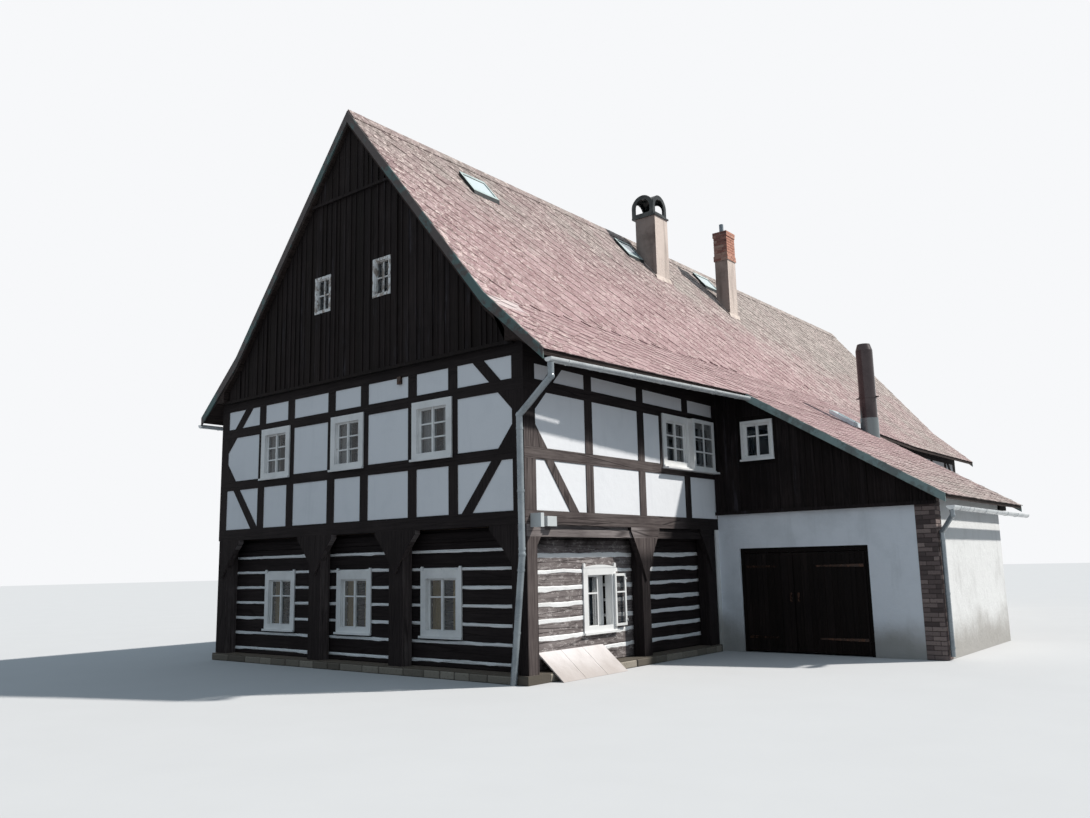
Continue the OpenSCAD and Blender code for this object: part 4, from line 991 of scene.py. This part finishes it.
for side, openings in WINDOWS.items():
    rods, hung = Pile(), []
    for (a, b), kind in openings:
        if kind in (barn, boarded):
            continue
        (z0, z1), v, mid = kind["z"], kind["v"] + BEHIND, (a + b) / 2
        rods.box((a - 0.005, b + 0.005), about(v, 0.008), (z1 - 0.07, z1 - 0.054), WALLS[side])
        look = "ochre_cloth" if kind is ground else "white_cloth"
        drawn = 0.9 if kind is upper else 0.72
        z = (z0 + 0.05, z1 - 0.06)
        hung.append((look, (a + MARGIN, a + MARGIN + (mid - a - MARGIN) * drawn), z, v, 4))
        if kind is swung:
            hung.append((look, (mid + 0.02, b - 0.05), z, v + 0.02, 4))
        else:
            hung.append((look, (b - MARGIN - (b - mid - MARGIN) * 0.62, b - MARGIN), z, v, 3))
    if hung:
        rods.made("curtain_rods_" + side, "casing", "window_paint")
    for i, sheet in enumerate(hung):
        curtain(f"curtain_{side}_{i}", *sheet, side)


# Stage, light and camera

def seen_directly(tree):
    """1 for what the camera sees, also in a mirror or through glass; 0 for what lights the object."""
    rays = tree.nodes.new("ShaderNodeLightPath").outputs
    share = rays["Is Camera Ray"]
    for ray in ("Is Glossy Ray", "Is Transmission Ray"):
        either = tree.nodes.new("ShaderNodeMath")
        either.operation = "MAXIMUM"
        tree.links.new(share, either.inputs[0])
        tree.links.new(rays[ray], either.inputs[1])
        share = either.outputs[0]
    return share


FLOOR_R, FLOOR_Y, FLOOR_Z = 160, 10, -0.002
ground_look = Look("studio_floor", 0.95, specular=0.0)
mottle = ground_look.noise(0.8, (1, 1, 1), 3)
pale_floor = ground_look.mix(mottle, rgb(200, 200, 201), rgb(205, 205, 206))
two_floors = ground_look.mix(seen_directly(ground_look.tree), rgb(136, 136, 138), pale_floor)
ring = [(FLOOR_R * math.cos(t), FLOOR_R * math.sin(t) + FLOOR_Y, FLOOR_Z)
        for t in np.linspace(0, math.tau, 96, False)]
floor = meshed("studio_floor", ring, [tuple(range(96))], ground_look.done(two_floors))

# The world is a pale backdrop to the camera and a bluish, weaker sky to everything that it lights
world = bpy.data.worlds.new("studio")
bpy.context.scene.world = world
world.use_nodes = True
tree = world.node_tree
seen = tree.nodes["Background"]
seen.inputs["Color"].default_value = rgb(247, 248, 250)
seen.inputs["Strength"].default_value = 1.0
fill = tree.nodes.new("ShaderNodeBackground")
fill.inputs["Color"].default_value = (0.70, 0.86, 1.0, 1.0)
fill.inputs["Strength"].default_value = 0.44
mixed = tree.nodes.new("ShaderNodeMixShader")
tree.links.new(seen_directly(tree), mixed.inputs[0])
tree.links.new(fill.outputs[0], mixed.inputs[1])
tree.links.new(seen.outputs[0], mixed.inputs[2])
tree.links.new(mixed.outputs[0], tree.nodes["World Output"].inputs["Surface"])

sun = bpy.data.lights.new("key", "SUN")
sun.energy = 4.45
sun.angle = math.radians(2)
sun.color = (1.0, 0.97, 0.92)
linked("key", sun).rotation_euler = Vector((1.0, 0.92, 1.32)).to_track_quat("Z", "Y").to_euler()

# The photo's own view, solved from its edges: angles in radians, the eye in metres
yaw, pitch, roll = -0.6738, 0.1666, -0.0213
ahead = Vector((math.sin(yaw) * math.cos(pitch), math.cos(yaw) * math.cos(pitch), math.sin(pitch)))
flat = Vector((math.cos(yaw), -math.sin(yaw), 0))
above = flat.cross(ahead)
across = flat * math.cos(roll) + above * math.sin(roll)
above = -flat * math.sin(roll) + above * math.cos(roll)
eye = Matrix((across, above, -ahead)).transposed().to_4x4()
eye.translation = (12.728, -10.416, 1.705)
view = bpy.data.cameras.new("camera")
view.lens = 30.45
view.sensor_width = 36
view.clip_end = 400
camera = linked("camera", view)
camera.matrix_world = eye
bpy.context.scene.camera = camera
bpy.context.scene.view_settings.view_transform = "Standard"
